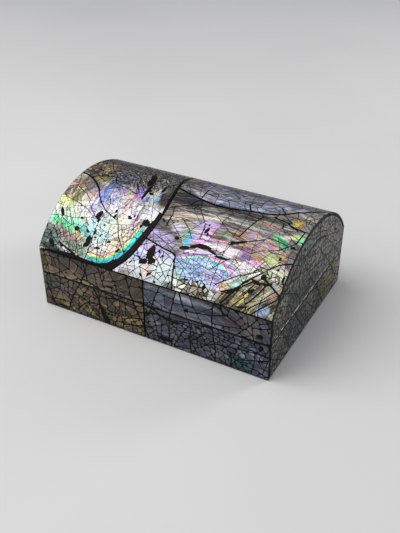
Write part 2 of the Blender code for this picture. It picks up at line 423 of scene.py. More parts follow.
# %% Building one sheet of tiles
def narrowed(points, amount):
    """The outline moved inward by amount, corner by corner."""
    count = len(points)
    inner = []
    for i, (x, y, *_) in enumerate(points):
        (px, py), (nx, ny) = points[i - 1][:2], points[(i + 1) % count][:2]
        a = Vector((x - px, y - py)).normalized()
        b = Vector((nx - x, ny - y)).normalized()
        inward = Vector((-a.y - b.y, a.x + b.x))
        if inward.length < 1e-6:
            inner.append((x, y))
            continue
        inward.normalize()
        lean = max(0.5, inward.dot(Vector((-a.y, a.x))))
        inner.append((x + inward.x * amount / lean, y + inward.y * amount / lean))
    return inner


def lay_tiles(name, pieces, put, finishes, seed, holes=(), curved=False, rim=None):
    """One mesh of all the tiles of a sheet, put on the box. finishes are the shell's and the
    resin's, and rim(u, v) tells how far a place is from the shell's rim."""
    dice = random.Random(seed)
    sheet = bmesh.new()
    lie = sheet.faces.layers.float_vector.new("lie")
    flat = sheet.verts.layers.float_vector.new("flat_place")
    for piece in pieces:
        ring = [p[:2] for p in without_nicks(piece)]
        if not ring:
            continue
        turn = (dice.gauss(0, 1), dice.gauss(0, 1), dice.random())
        foot = [sheet.verts.new((x, y, TILE_FOOT)) for x, y in ring]
        edge = [sheet.verts.new((x, y, TILE_TOP - CHAMFER_DROP)) for x, y in ring]
        brim = [sheet.verts.new((x, y, TILE_TOP)) for x, y in narrowed(ring, CHAMFER_WIDTH)]
        made = [sheet.faces.new(brim), sheet.faces.new(foot[::-1])]
        for lower, upper in ((foot, edge), (edge, brim)):
            for i in range(len(ring)):
                j = (i + 1) % len(ring)
                made.append(sheet.faces.new((lower[i], lower[j], upper[j], upper[i])))
                made[-1].material_index = 1
        for face in made:
            face[lie] = turn
    for middle, half, turn, *corners in holes:
        fill_with_resin(sheet, blot(middle, half, turn, dice, *corners))
    if curved:
        scores = int(ARC / SCORE_STEP)
        for k in range(1, scores):
            everything = sheet.verts[:] + sheet.edges[:] + sheet.faces[:]
            bmesh.ops.bisect_plane(sheet, geom=everything, dist=1e-4,
                                   plane_co=(0, ARC * k / scores, 0), plane_no=(0, 1, 0))
    from_rim = sheet.verts.layers.float.new("from_rim")
    for point in sheet.verts:
        point[from_rim] = rim(point.co.x, point.co.y) if rim else 0.0
        point[flat] = point.co
        point.co = Vector(put(*point.co)) / 1000
    mesh = bpy.data.meshes.new(name)
    sheet.to_mesh(mesh)
    sheet.free()
    for finish in finishes:
        mesh.materials.append(finish)
    mesh.shade_smooth()
    mesh.set_sharp_from_angle(angle=math.radians(SHARP_ANGLE))
    tiles = bpy.data.objects.new(name, mesh)
    bpy.context.scene.collection.objects.link(tiles)
    print(f"{name}: {len(pieces)} pieces, {sum(len(p.vertices) - 2 for p in mesh.polygons)} triangles")
    return tiles


# %% [markdown]
# ## Helpers for the finishes
# Shell is painted with nodes alone. A finish is easier to read as a recipe, so a small workshop
# class adds the nodes: each method adds one and gives back its output, and plain numbers can go
# in wherever an output can. Colours are written as the eye sees them, 0 to 255.

# %% A workshop for finishes
def seen(red, green, blue):
    """A colour as the eye sees it, made ready for Blender's linear light."""
    return tuple(((c / 255 + 0.055) / 1.055) ** 2.4 if c > 10 else c / 255 / 12.92
                 for c in (red, green, blue)) + (1.0,)


class Finish:
    """A material being mixed."""

    def __init__(self, name):
        self.material = bpy.data.materials.new(name)
        self.material.use_nodes = True
        self.tree = self.material.node_tree
        self.shader = self.tree.nodes["Principled BSDF"]

    def node(self, kind, inputs=(), **settings):
        made = self.tree.nodes.new("ShaderNode" + kind)
        for key, value in settings.items():
            setattr(made, key, value)
        for key, value in dict(inputs).items():
            self.feed(made.inputs[key], value)
        return made

    def feed(self, socket, value):
        if isinstance(value, bpy.types.NodeSocket):
            self.tree.links.new(value, socket)
        else:
            socket.default_value = value

    def sum(self, operation, a, b=0.0, c=0.0):
        return self.node("Math", {0: a, 1: b, 2: c}, operation=operation).outputs[0]

    def vector(self, operation, a, b=(0, 0, 0)):
        return self.node("VectorMath", {0: a, 1: b}, operation=operation).outputs[0]

    def scaled(self, a, amount):
        return self.node("VectorMath", {0: a, "Scale": amount}, operation="SCALE").outputs[0]

    def length(self, a):
        return self.node("VectorMath", {0: a}, operation="LENGTH").outputs["Value"]

    def grain(self, place, size, detail=3.0, rough=0.55, bend=0.0, colour=False):
        """Noise whose blotches are about size across."""
        inputs = {"Vector": place, "Scale": 1 / size, "Detail": detail, "Roughness": rough,
                  "Distortion": bend}
        return self.node("TexNoise", inputs).outputs["Color" if colour else 0]

    def step(self, value, low, high, start=0.0, end=1.0):
        """Goes softly from start to end as value goes from low to high."""
        inputs = {"Value": value, "From Min": low, "From Max": high, "To Min": start, "To Max": end}
        return self.node("MapRange", inputs, interpolation_type="SMOOTHSTEP").outputs[0]

    def ramp(self, value, stops, way="LINEAR"):
        """Colours along a value: stops are (place, colour)."""
        made = self.node("ValToRGB", {0: value})
        made.color_ramp.interpolation = way
        elements = made.color_ramp.elements
        while len(elements) < len(stops):
            elements.new(0.5)
        for element, (place, colour) in zip(elements, stops):
            element.position = place
            element.color = colour
        return made.outputs[0]

    def mix(self, amount, a, b, way="MIX"):
        made = self.node("Mix", data_type="RGBA", blend_type=way)
        colours = [s for s in made.inputs if s.type == "RGBA"]
        self.feed(made.inputs[0], amount)
        self.feed(colours[0], a)
        self.feed(colours[1], b)
        return [s for s in made.outputs if s.type == "RGBA"][0]

    def around(self, place, middle, half, turn=0.0):
        """The place measured from an oval's middle, so that its rim is at length 1."""
        inputs = {"Vector": place, "Location": (*middle, 0.0), "Scale": (*half, 1.0),
                  "Rotation": (0.0, 0.0, math.radians(turn))}
        flat = self.node("Mapping", inputs, vector_type="TEXTURE").outputs[0]
        return self.vector("MULTIPLY", flat, (1, 1, 0))

    def oval(self, place, middle, half, turn=0.0, soft=0.3):
        """1 inside an oval patch and 0 outside, with a soft edge."""
        away = self.length(self.around(place, middle, half, turn))
        return self.step(away, 1 + soft, 1 - soft)


# %% [markdown]
# ## Black resin and wood
# The resin between the pieces is nearly black and polished level with the shell. Small bubbles
# and dust make it a little uneven, so its gloss changes from place to place. The carcass is wood
# under black lacquer, and only its thin edges at the seam and its underside can be seen.

# %% Resin and lacquered wood
def black_resin(name, colour, warmth, blotch):
    finish = Finish(name)
    place = finish.scaled(finish.node("TexCoord").outputs["Object"], 1000.0)
    cloud = finish.grain(place, blotch, 4.0)
    tint = finish.mix(finish.step(cloud, 0.42, 0.62), colour, warmth)
    finish.feed(finish.shader.inputs["Base Color"], tint)
    finish.feed(finish.shader.inputs["Roughness"], finish.step(cloud, 0.3, 0.7, 0.38, 0.55))
    finish.shader.inputs["Specular IOR Level"].default_value = 0.10
    return finish.material


RESIN = black_resin("black resin", seen(7, 6, 6), seen(24, 18, 14), 1.6)
WOOD = black_resin("black lacquered wood", seen(9, 8, 8), seen(18, 14, 12), 6.0)

for name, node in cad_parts.items():
    node.data.materials.clear()
    node.data.materials.append(WOOD if name.endswith("carcass") else RESIN)
print("resin and wood on", len(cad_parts), "solids")

# %% [markdown]
# ## The shell finish
# Shell grows in thin layers, edge by edge, so its lines are arcs round one heart. Light caught
# between the layers gives bands of pink, gold, green and blue, and these follow the growth lines
# too. The recipe measures each place from the shell's heart, draws fine growth streaks along the
# arcs, and keeps a rainbow that runs with them. Patches are then laid over the ground one after
# another. Each is an oval with a torn edge, in one colour, in the rainbow, in a few colours that
# change from piece to piece, or in colours brushed along one direction. Every piece reads its
# patches from a slightly shifted place, since it broke loose and settled a little askew.

# %% The paints
RAINBOW = "rainbow"
Pieces = namedtuple("Pieces", "colours")
Streaks = namedtuple("Streaks", "turn length width colours")
SPECTRUM = (
    (0.00, seen(232, 96, 178)), (0.14, seen(250, 150, 150)), (0.26, seen(252, 206, 128)),
    (0.38, seen(206, 232, 128)), (0.50, seen(104, 222, 150)), (0.62, seen(92, 206, 214)),
    (0.76, seen(124, 150, 236)), (0.90, seen(184, 116, 226)), (1.00, seen(232, 96, 178)),
)


def spread(colours, first, last):
    """The colours as a ramp's stops, evenly from first to last."""
    gap = (last - first) / max(1, len(colours) - 1)
    return [(first + k * gap, seen(*colour)) for k, colour in enumerate(colours)]


def mixed_paint(finish, paint, place, chance, rainbow):
    """A patch's colour: plain, or changing from place to place."""
    if paint == RAINBOW:
        return rainbow
    if isinstance(paint, Pieces):
        pick = finish.sum("FRACT", finish.sum("MULTIPLY", chance, 7.3))
        stops = spread(paint.colours, 0.0, 1.0 - 1 / len(paint.colours))
        return finish.ramp(pick, stops, "CONSTANT")
    if isinstance(paint, Streaks):
        brushed = finish.around(place, (0, 0), (paint.length, paint.width), paint.turn)
        return finish.ramp(finish.grain(brushed, 1.0, 3.0, 0.6), spread(paint.colours, 0.32, 0.68))
    return seen(*paint)


# %% The recipe for shell
TILE_LEAN = 0.07
STREAK_LEAN = 0.05
TILE_SHIFT = 0.22
HAIR_SIZE = 2.3
SMALL_PATCH = 2.5


def shell_finish(name, heart, stretch, ground, patches=(), arcs=(), rim=None, ragged=1.3, streak=1.1,
                 contrast=0.5, bands=1.2, play=0.2, hair=0.35, tint=0.16, sheen=0.25, tone_and_shade=1.0):
    """Shell that grew round heart, an oval of that stretch, in streaks so many millimetres wide.
    play is how much rainbow tints it, hair how dark its hairline cracks are, and tone_and_shade how
    light it is in all, which on the upright faces is set low as painted shade."""
    finish = Finish(name)
    place = finish.node("Attribute", attribute_name="flat_place").outputs["Vector"]
    lie = finish.node("Attribute", attribute_name="lie").outputs["Vector"]
    chance = finish.node("SeparateXYZ", {0: lie}).outputs["Z"]

    shift = finish.vector("SUBTRACT", finish.grain(place, 4.0, 4.0, 0.62, colour=True), (0.5, 0.5, 0.5))
    torn = finish.vector("ADD", place, finish.vector("MULTIPLY", shift, (4.2 * ragged, 4.2 * ragged, 0)))
    torn = finish.vector("ADD", torn, finish.vector("MULTIPLY", lie, (TILE_SHIFT, TILE_SHIFT, 0)))
    calm = finish.vector("ADD", place, finish.vector("MULTIPLY", shift, (1.6, 1.6, 0)))

    grown = finish.around(torn, heart, stretch)
    radius = finish.length(grown)
    way = finish.vector("NORMALIZE", grown)
    spoke = finish.vector("MULTIPLY", way, (stretch[0] / 9, stretch[0] / 9, 0.0))
    lines = finish.node("CombineXYZ", {2: finish.sum("MULTIPLY", radius, stretch[0] / streak)}).outputs[0]
    along = finish.vector("ADD", spoke, lines)
    fine = finish.grain(along, 1.0, 3.0, 0.65)
    wide = finish.grain(finish.scaled(along, 0.27), 1.0, 2.0, 0.5)

    drift = finish.grain(place, 9.0, 2.0, 0.5)
    mottle = finish.grain(place, 1.6, 2.0, 0.5)
    phase = finish.sum("MULTIPLY_ADD", radius, bands * stretch[0] / 10, finish.sum("MULTIPLY", drift, 2.4))
    phase = finish.sum("ADD", phase, finish.sum("MULTIPLY", mottle, 0.9))
    unrest = finish.sum("MULTIPLY_ADD", chance, 0.22, finish.sum("MULTIPLY", fine, 0.8))
    phase = finish.sum("ADD", phase, unrest)
    rainbow = finish.ramp(finish.sum("FRACT", phase), SPECTRUM)

    colour = finish.ramp(finish.sum("MULTIPLY_ADD", wide, 0.7, finish.sum("MULTIPLY", fine, 0.3)), ground)
    for middle, half, turn, paint, strength, soft in patches:
        mask = finish.oval(calm if min(half) < SMALL_PATCH else torn, middle, half, turn, soft)
        paint = mixed_paint(finish, paint, torn, chance, rainbow)
        colour = finish.mix(finish.sum("MULTIPLY", mask, strength), colour, paint)
    for middle, half, stops, (window, reach, lean) in arcs:
        ring = finish.length(finish.around(calm, middle, half))
        first, last = stops[0][0], stops[-1][0]
        paints = [((r - first) / (last - first), seen(*c)) for r, c in stops]
        spot_on = finish.sum("DIVIDE", finish.sum("SUBTRACT", ring, first), last - first)
        inside = finish.sum("MULTIPLY", finish.step(spot_on, -0.06, 0.06), finish.step(spot_on, 1.05, 0.9))
        mask = finish.sum("MULTIPLY", inside, finish.oval(torn, window, reach, lean, 0.2))
        colour = finish.mix(mask, colour, finish.ramp(spot_on, paints))
    if rim:
        stops, (window, reach, lean) = rim
        depth = finish.node("Attribute", attribute_name="from_rim").outputs["Fac"]
        depth = finish.sum("ADD", depth, finish.sum("MULTIPLY_ADD", mottle, 1.2, -0.6))
        deepest = stops[-1][0]
        paints = [(d / deepest, seen(*c)) for d, c in stops]
        band = finish.sum("MULTIPLY", finish.step(depth, deepest, 0.8 * deepest),
                          finish.oval(place, window, reach, lean, 0.25))
        colour = finish.mix(band, colour, finish.ramp(finish.sum("DIVIDE", depth, deepest), paints))

    colour = finish.mix(play, colour, rainbow, "SOFT_LIGHT")
    # The scale below sets how light the shell is in all; on the upright faces it is set low as painted
    # shade.
    streaks = finish.step(fine, 0.34, 0.66, tone_and_shade * (1 - contrast), tone_and_shade * (1 + 0.5 * contrast))
    lightness = finish.sum("MULTIPLY", streaks, finish.sum("MULTIPLY_ADD", chance, 2 * tint, 1 - tint))
    if hair:
        cell = finish.node("TexVoronoi", {"Vector": torn, "Scale": 1 / HAIR_SIZE},
                           feature="DISTANCE_TO_EDGE", voronoi_dimensions="2D").outputs["Distance"]
        line = finish.sum("MULTIPLY", finish.step(cell, 0.06, 0.015), finish.step(drift, 0.42, 0.56))
        lightness = finish.sum("MULTIPLY", lightness, finish.sum("MULTIPLY_ADD", line, -hair, 1.0))
    grey = finish.node("CombineColor", {0: lightness, 1: lightness, 2: lightness}).outputs[0]
    finish.feed(finish.shader.inputs["Base Color"], finish.mix(1.0, colour, grey, "MULTIPLY"))

    lean = finish.vector("MULTIPLY", lie, (TILE_LEAN, TILE_LEAN, 0.0))
    wave = finish.vector("SUBTRACT", finish.grain(along, 2.0, 2.0, colour=True), (0.5, 0.5, 0.5))
    turned = finish.vector("ADD", lean, finish.scaled(wave, STREAK_LEAN * 2))
    facing = finish.node("NewGeometry").outputs["Normal"]
    normal = finish.vector("NORMALIZE", finish.vector("ADD", facing, turned))
    finish.feed(finish.shader.inputs["Normal"], normal)

    shader = finish.shader.inputs
    shader["Metallic"].default_value = sheen
    shader["Specular IOR Level"].default_value = 0.25
    finish.feed(shader["Roughness"], finish.step(fine, 0.3, 0.7, 0.30, 0.46))
    shader["Coat Weight"].default_value = 0.2
    shader["Coat Roughness"].default_value = 0.12
    return finish.material


# %% [markdown]
# ## The left shell of the dome
# This is the brightest shell: a white heart, sea green to its lower left, a rim of sea blue, green
# and gold at its lower right, and grey-olive growth streaks over the crown, laid on a grey-olive and
# then darker ground that is painted shade where the dome turns away from the light. Places are read
# in millimetres from the left end and from the front crease. A patch is its middle, its half sizes,
# its turn in degrees, its paint, its strength and its softness.

# %% The left shell's finish
GROWTH = Streaks(-58, 7.0, 0.8, ((24, 23, 26), (84, 81, 78), (152, 148, 140), (236, 232, 228)))
OLD_BROWN = Pieces(((164, 146, 96), (110, 98, 68), (204, 184, 134), (66, 60, 50), (136, 124, 96)))
PEACH_AND_BROWN = Pieces(((222, 168, 126), (150, 122, 86), (238, 204, 170), (112, 102, 74)))
SEA_DARK = Pieces(((58, 88, 84), (80, 108, 100), (112, 116, 104), (44, 62, 62), (96, 128, 118)))
DULL_ROSE = Pieces(((176, 138, 126), (142, 128, 112), (198, 156, 154), (118, 98, 94)))
DULL_GREEN = Pieces(((126, 156, 136), (158, 166, 146), (98, 124, 112), (178, 170, 138)))
LEFT_PEARL = shell_finish(
    "left pearl", (37, 46), (27.5, 43.5),
    ((0.25, seen(186, 192, 206)), (0.42, seen(232, 232, 236)), (0.58, seen(242, 240, 226)),
     (0.75, seen(208, 230, 222))),
    patches=(
        ((22, 37), (16, 9), -32, (224, 214, 232), 0.6, 0.5),
        ((12, 35), (12, 7), -20, (240, 234, 190), 0.75, 0.5),
        ((3, 32), (6, 4.5), -10, (236, 250, 148), 0.85, 0.4),
        ((8, 28), (6, 3.5), 0, (240, 246, 172), 0.7, 0.5),
        ((3.5, 44), (6, 7.5), -20, PEACH_AND_BROWN, 0.8, 0.3),
        ((9.5, 38), (2.6, 5), -10, (134, 126, 66), 0.75, 0.4),
        ((1.5, 39), (2.4, 2.6), 0, (74, 84, 94), 0.8, 0.4),
        ((12.5, 49), (11, 6), -34, (128, 116, 98), 0.8, 0.3),
        ((20, 43.5), (5, 3), -35, (206, 174, 206), 0.8, 0.4),
        ((18.3, 41), (1.5, 2.5), 20, (240, 186, 142), 0.8, 0.4),
        ((13, 25.5), (14, 5), -12, (222, 248, 212), 0.75, 0.5),
        ((22, 30), (8, 6), -35, (242, 236, 240), 0.75, 0.5),
        ((8, 19), (8, 3.2), -8, (88, 230, 156), 0.95, 0.4),
        ((18, 19.5), (7.5, 3.6), -14, (120, 238, 190), 0.85, 0.5),
        ((10, 22.5), (8, 2), -8, (200, 246, 206), 0.7, 0.5),
        ((25.5, 17.5), (4.5, 3.2), -25, (84, 190, 168), 0.8, 0.5),
        ((16, 15.5), (4, 1.5), -10, (92, 238, 120), 0.9, 0.4),
        ((29.5, 21), (3, 4.5), 10, (178, 238, 252), 0.85, 0.4),
        ((12, 13.5), (9, 3), -22, (150, 136, 116), 0.75, 0.5),
        ((18, 10.5), (8, 3.4), -18, DULL_ROSE, 0.85, 0.35),
        ((19.5, 11), (1.5, 1.0), 0, (216, 76, 130), 0.85, 0.4),
        ((24, 13.2), (5, 1.4), -20, (214, 200, 110), 0.8, 0.5),
        ((27, 12), (2, 1.0), -20, (236, 160, 100), 0.8, 0.5),
        ((4.5, 8), (10, 7), -25, SEA_DARK, 0.94, 0.3),
        ((24, 6), (8.5, 4.5), -15, DULL_GREEN, 0.85, 0.35),
        ((9, 2.0), (12, 2.2), -6, (34, 44, 44), 0.85, 0.5),
        ((30, 13), (3.6, 5.5), 10, (70, 170, 166), 0.6, 0.5),
        ((44, 40), (12, 8), 0, (246, 242, 246), 0.8, 0.5),
        ((44.4, 40), (1.8, 8), 3, (248, 200, 204), 0.8, 0.5),
        ((44, 26), (6, 7), 0, (248, 244, 212), 0.75, 0.5),
        ((37, 24), (5, 8), 0, (212, 246, 228), 0.75, 0.5),
        ((27, 33), (5, 4.5), -20, (218, 208, 248), 0.75, 0.5),
        ((38, 17), (5.5, 3.6), -10, (190, 240, 232), 0.7, 0.5),
        ((26, 45), (3.0, 8), 8, (132, 162, 255), 0.85, 0.5),
        ((31, 42), (4.5, 4.5), 0, (196, 206, 255), 0.75, 0.5),
        ((35, 49.5), (5.5, 3.5), 0, (200, 172, 224), 0.8, 0.5),
        # Painted shade: grey-olive over the crown and the back slope, where the dome turns away from the
        # light.
        ((30, 96), (66, 40.5), 0, (88, 84, 78), 0.95, 0.04),
        ((36, 80), (38, 24), 0, GROWTH, 0.8, 0.15),
        # Painted shade: a darker band over the back slope of the dome.
        ((30, 98), (80, 22), 0, (40, 38, 37), 0.7, 0.3),
        ((62.6, 55), (4.2, 10), 4,
         Streaks(86, 8, 0.7, ((22, 18, 16), (52, 44, 38), (92, 80, 66))), 0.95, 0.3),
        ((8, 66), (16, 12), -10, OLD_BROWN, 0.8, 0.35),
        ((40, 66), (14, 8), -20, GROWTH, 0.7, 0.4),
        ((17.5, 56), (6, 3), -15, (164, 156, 78), 0.8, 0.5),
        ((27, 66), (10, 9), 0, (104, 108, 140), 0.5, 0.5),
        ((27.5, 53), (4.5, 2.8), -10, (84, 122, 164), 0.9, 0.4),
        ((40, 49.5), (3, 2), 0, (196, 194, 130), 0.7, 0.5),
        ((45, 54), (3.0, 3.6), 10, (146, 110, 232), 0.8, 0.5),
        ((45.6, 49.0), (2.8, 2.2), 0, (236, 120, 240), 0.85, 0.5),
        ((42.5, 46), (3, 2), 0, (255, 216, 186), 0.7, 0.5),
        ((52.5, 47.5), (2.8, 2.6), 0, (136, 164, 246), 0.8, 0.45),
        ((55.6, 64), (6, 9), -8, GROWTH, 0.8, 0.4),
        ((57.6, 51.5), (1.3, 3.6), 0, (130, 210, 250), 0.8, 0.4),
        ((59, 41), (3.0, 4.5), 0, (226, 226, 255), 0.8, 0.4),
        ((55, 54), (0.7, 10), -2, (244, 248, 200), 0.85, 0.4),
        ((56, 43), (0.7, 3), 0, (230, 230, 130), 0.7, 0.4),
        ((54.6, 26), (3.2, 9.5), -6,
         Streaks(82, 4.0, 0.5, ((70, 40, 52), (246, 236, 244), (232, 150, 160), (210, 222, 252))), 0.9, 0.3),
        ((49.5, 17), (2.6, 9), -30,
         Streaks(56, 5, 0.7, ((206, 84, 96), (252, 236, 200), (246, 206, 150), (250, 246, 240))), 0.8, 0.35),
    ),
    rim=(((0.0, (16, 110, 140)), (0.5, (24, 188, 206)), (1.6, (40, 214, 210)), (2.6, (84, 236, 190)),
          (3.2, (206, 246, 150)), (3.9, (250, 242, 180)), (4.5, (244, 200, 170)), (4.9, (214, 118, 132)),
          (5.3, (246, 222, 214)), (6.4, (246, 240, 244))),
         ((50, 12.5), (20.5, 14.5), 42)), contrast=0.6, tone_and_shade=1.04)

LEFT_HOLES = (
    ((30.6, 29.2), (2.0, 3.0), -8), ((31.6, 25.8), (0.9, 1.8), 8), ((6.4, 24.8), (1.1, 3.4), 40),
    ((20.8, 24.2), (1.3, 0.8), -15), ((20.8, 17.2), (1.9, 1.5), -20), ((23.4, 15.8), (1.3, 0.5), -30),
    ((40.4, 31.0), (1.0, 1.8), -10), ((39.4, 34.2), (0.7, 1.3), 20), ((49.6, 32.6), (1.7, 1.2), -25),
    ((51.8, 34.2), (0.7, 0.8), 0), ((60.8, 32.2), (2.9, 2.5), -25), ((58.9, 29.4), (1.0, 1.2), 0),
    ((36.8, 23.8), (0.9, 0.7), 0), ((34.9, 22.0), (0.4, 0.5), 0), ((38.6, 26.0), (0.4, 0.4), 0),
    ((44.0, 15.0), (1.2, 0.9), 20), ((42.2, 14.8), (0.4, 1.2), 0), ((38.2, 9.6), (2.2, 0.8), 6),
    ((51.4, 11.8), (0.8, 1.8), -35), ((31.0, 12.2), (2.0, 3.6), 6), ((29.8, 9.4), (1.3, 1.4), 0),
    ((33.3, 18.6), (0.6, 1.5), 10), ((34.6, 15.3), (1.1, 0.6), 0), ((37.4, 17.2), (0.6, 1.0), -20),
    ((28.2, 17.6), (1.4, 0.8), -40), ((7.4, 5.6), (2.2, 1.6), -30), ((9.0, 3.8), (1.0, 1.3), 0),
    ((14.8, 5.0), (1.3, 0.8), -25), ((48.5, 55), (1.2, 8.5), 3), ((51.8, 53.6), (1.9, 1.2), -10),
    ((50.2, 55.8), (0.8, 1.6), 0), ((45, 66), (2.1, 7.5), 16), ((42.5, 72.5), (2.0, 4.5), 26),
    ((4.8, 10.8), (0.5, 1.5), -30), ((56.8, 60), (1.1, 3.5), 4),
)

# %% [markdown]
# ## The middle and the right shells
# The small middle shell is a patchwork of near-white fragments, some of them lost. The right one
# starts at the front as a gravel of broken shell, has a lilac-blue field under a small rainbow,
# streaks of pink and gold beyond it, leaf-like bands of old shell at its corner, and ends in silky
# grey growth bands.

# %% The middle and right finishes
WHITE_BITS = Pieces(((236, 240, 238), (214, 220, 226), (246, 236, 228), (226, 240, 236), (204, 206, 216)))
GRAVEL = Pieces(((206, 202, 186), (156, 148, 122), (244, 242, 232), (104, 96, 76), (218, 222, 212)))
FIELD_BITS = Pieces(((168, 196, 250), (196, 208, 250), (146, 182, 240), (204, 196, 250), (184, 216, 244)))
PALE_GRAVEL = Pieces(((240, 244, 200), (206, 216, 172), (250, 250, 236), (116, 114, 86), (184, 210, 150)))
LEAF = Streaks(56, 13.0, 0.9, ((16, 13, 9), (56, 50, 34), (112, 104, 72), (222, 218, 176), (70, 62, 42)))
DUSTY = Streaks(20, 6.0, 0.8, ((104, 78, 96), (172, 136, 156), (216, 188, 178), (146, 112, 110)))
SILK = Streaks(-1, 14.0, 0.7, ((26, 25, 25), (82, 79, 76), (146, 142, 136), (250, 247, 240)))
MIDDLE_PEARL = shell_finish(
    "middle pearl", (84, -10), (26, 26),
    ((0.25, seen(206, 208, 226)), (0.45, seen(236, 234, 238)), (0.65, seen(222, 230, 238)),
     (0.8, seen(244, 236, 226))),
    patches=(
        ((74, 12), (18, 14), 0, WHITE_BITS, 0.6, 0.3),
        ((68, 20), (12, 4.5), -8, (176, 168, 214), 0.85, 0.4),
        ((64, 12.5), (5, 2.6), 0, (172, 178, 226), 0.8, 0.4),
        ((82, 19), (6, 4), -10, (184, 172, 220), 0.8, 0.4),
        ((86.5, 21), (2, 3), 0, (120, 160, 220), 0.85, 0.4),
        ((73, 6), (3.6, 3.6), 20, (242, 214, 200), 0.85, 0.35),
        ((79, 12.4), (3.6, 2), 20, (244, 228, 238), 0.8, 0.4),
        ((82, 7), (6, 6.5), 0, (222, 244, 238), 0.75, 0.5),
        ((88.5, 1.6), (4, 2.0), 0, (96, 84, 66), 0.85, 0.4),
        ((60, 1.5), (5, 1.6), 0, (120, 112, 104), 0.7, 0.4),
    ),
    streak=1.6, contrast=0.25, play=0.15, hair=0.5, tint=0.12)

MIDDLE_HOLES = (
    ((71.8, 16.0), (2.6, 5.0), -4, 6), ((73.6, 12.0), (2.9, 2.6), 30, 5), ((69.0, 9.8), (3.2, 1.9), 24, 5),
    ((66.0, 11.6), (2.2, 0.8), -30, 4), ((79.2, 15.4), (2.0, 1.3), 20, 3), ((76.4, 18.0), (0.9, 1.4), 0, 4),
    ((74.8, 4.6), (1.1, 2.8), -35, 4), ((70.2, 2.6), (1.8, 0.8), -40, 4), ((64.2, 13.8), (1.8, 0.4), 30, 4),
    ((61.6, 8.2), (0.5, 2.0), -20, 4), ((79.4, 1.2), (1.0, 1.0), 0, 5), ((90.6, 3.2), (0.7, 2.8), 5, 5),
)

RIGHT_GROUND = ((0.25, seen(84, 80, 78)), (0.42, seen(134, 128, 120)), (0.58, seen(176, 170, 160)),
                (0.75, seen(214, 208, 200)))
RIGHT_HEART = ((106, -62), (60, 60))
SMALL_RAINBOW = (
    (104.5, 6), (21, 16.5),
    ((0.86, (150, 186, 250)), (0.91, (130, 206, 250)), (0.94, (130, 236, 232)), (0.965, (184, 244, 180)),
     (0.985, (246, 240, 196)), (1.005, (248, 196, 190)), (1.03, (236, 146, 206)), (1.07, (200, 164, 238)),
     (1.12, (224, 204, 246)), (1.20, (236, 226, 244))),
    ((106, 20.5), (19, 5.4), -3))
FOIL = Streaks(
    -28, 9.0, 0.7, ((240, 140, 186), (250, 240, 170), (150, 232, 206), (160, 176, 250), (250, 246, 250)))
ALONG_THE_FIELD = (
    ((74, 25.8), (11, 4), -14, (178, 164, 206), 0.9, 0.4),
    ((126.5, 23.4), (10.5, 3.0), 20, (252, 242, 252), 0.95, 0.3),
    ((120, 20.4), (8, 2.0), -28, FOIL, 0.8, 0.4),
    ((131, 26.6), (4.4, 0.8), 10, (240, 140, 222), 0.8, 0.45),
    ((139, 21.6), (11, 3.9), 14, PALE_GRAVEL, 0.96, 0.2),
)
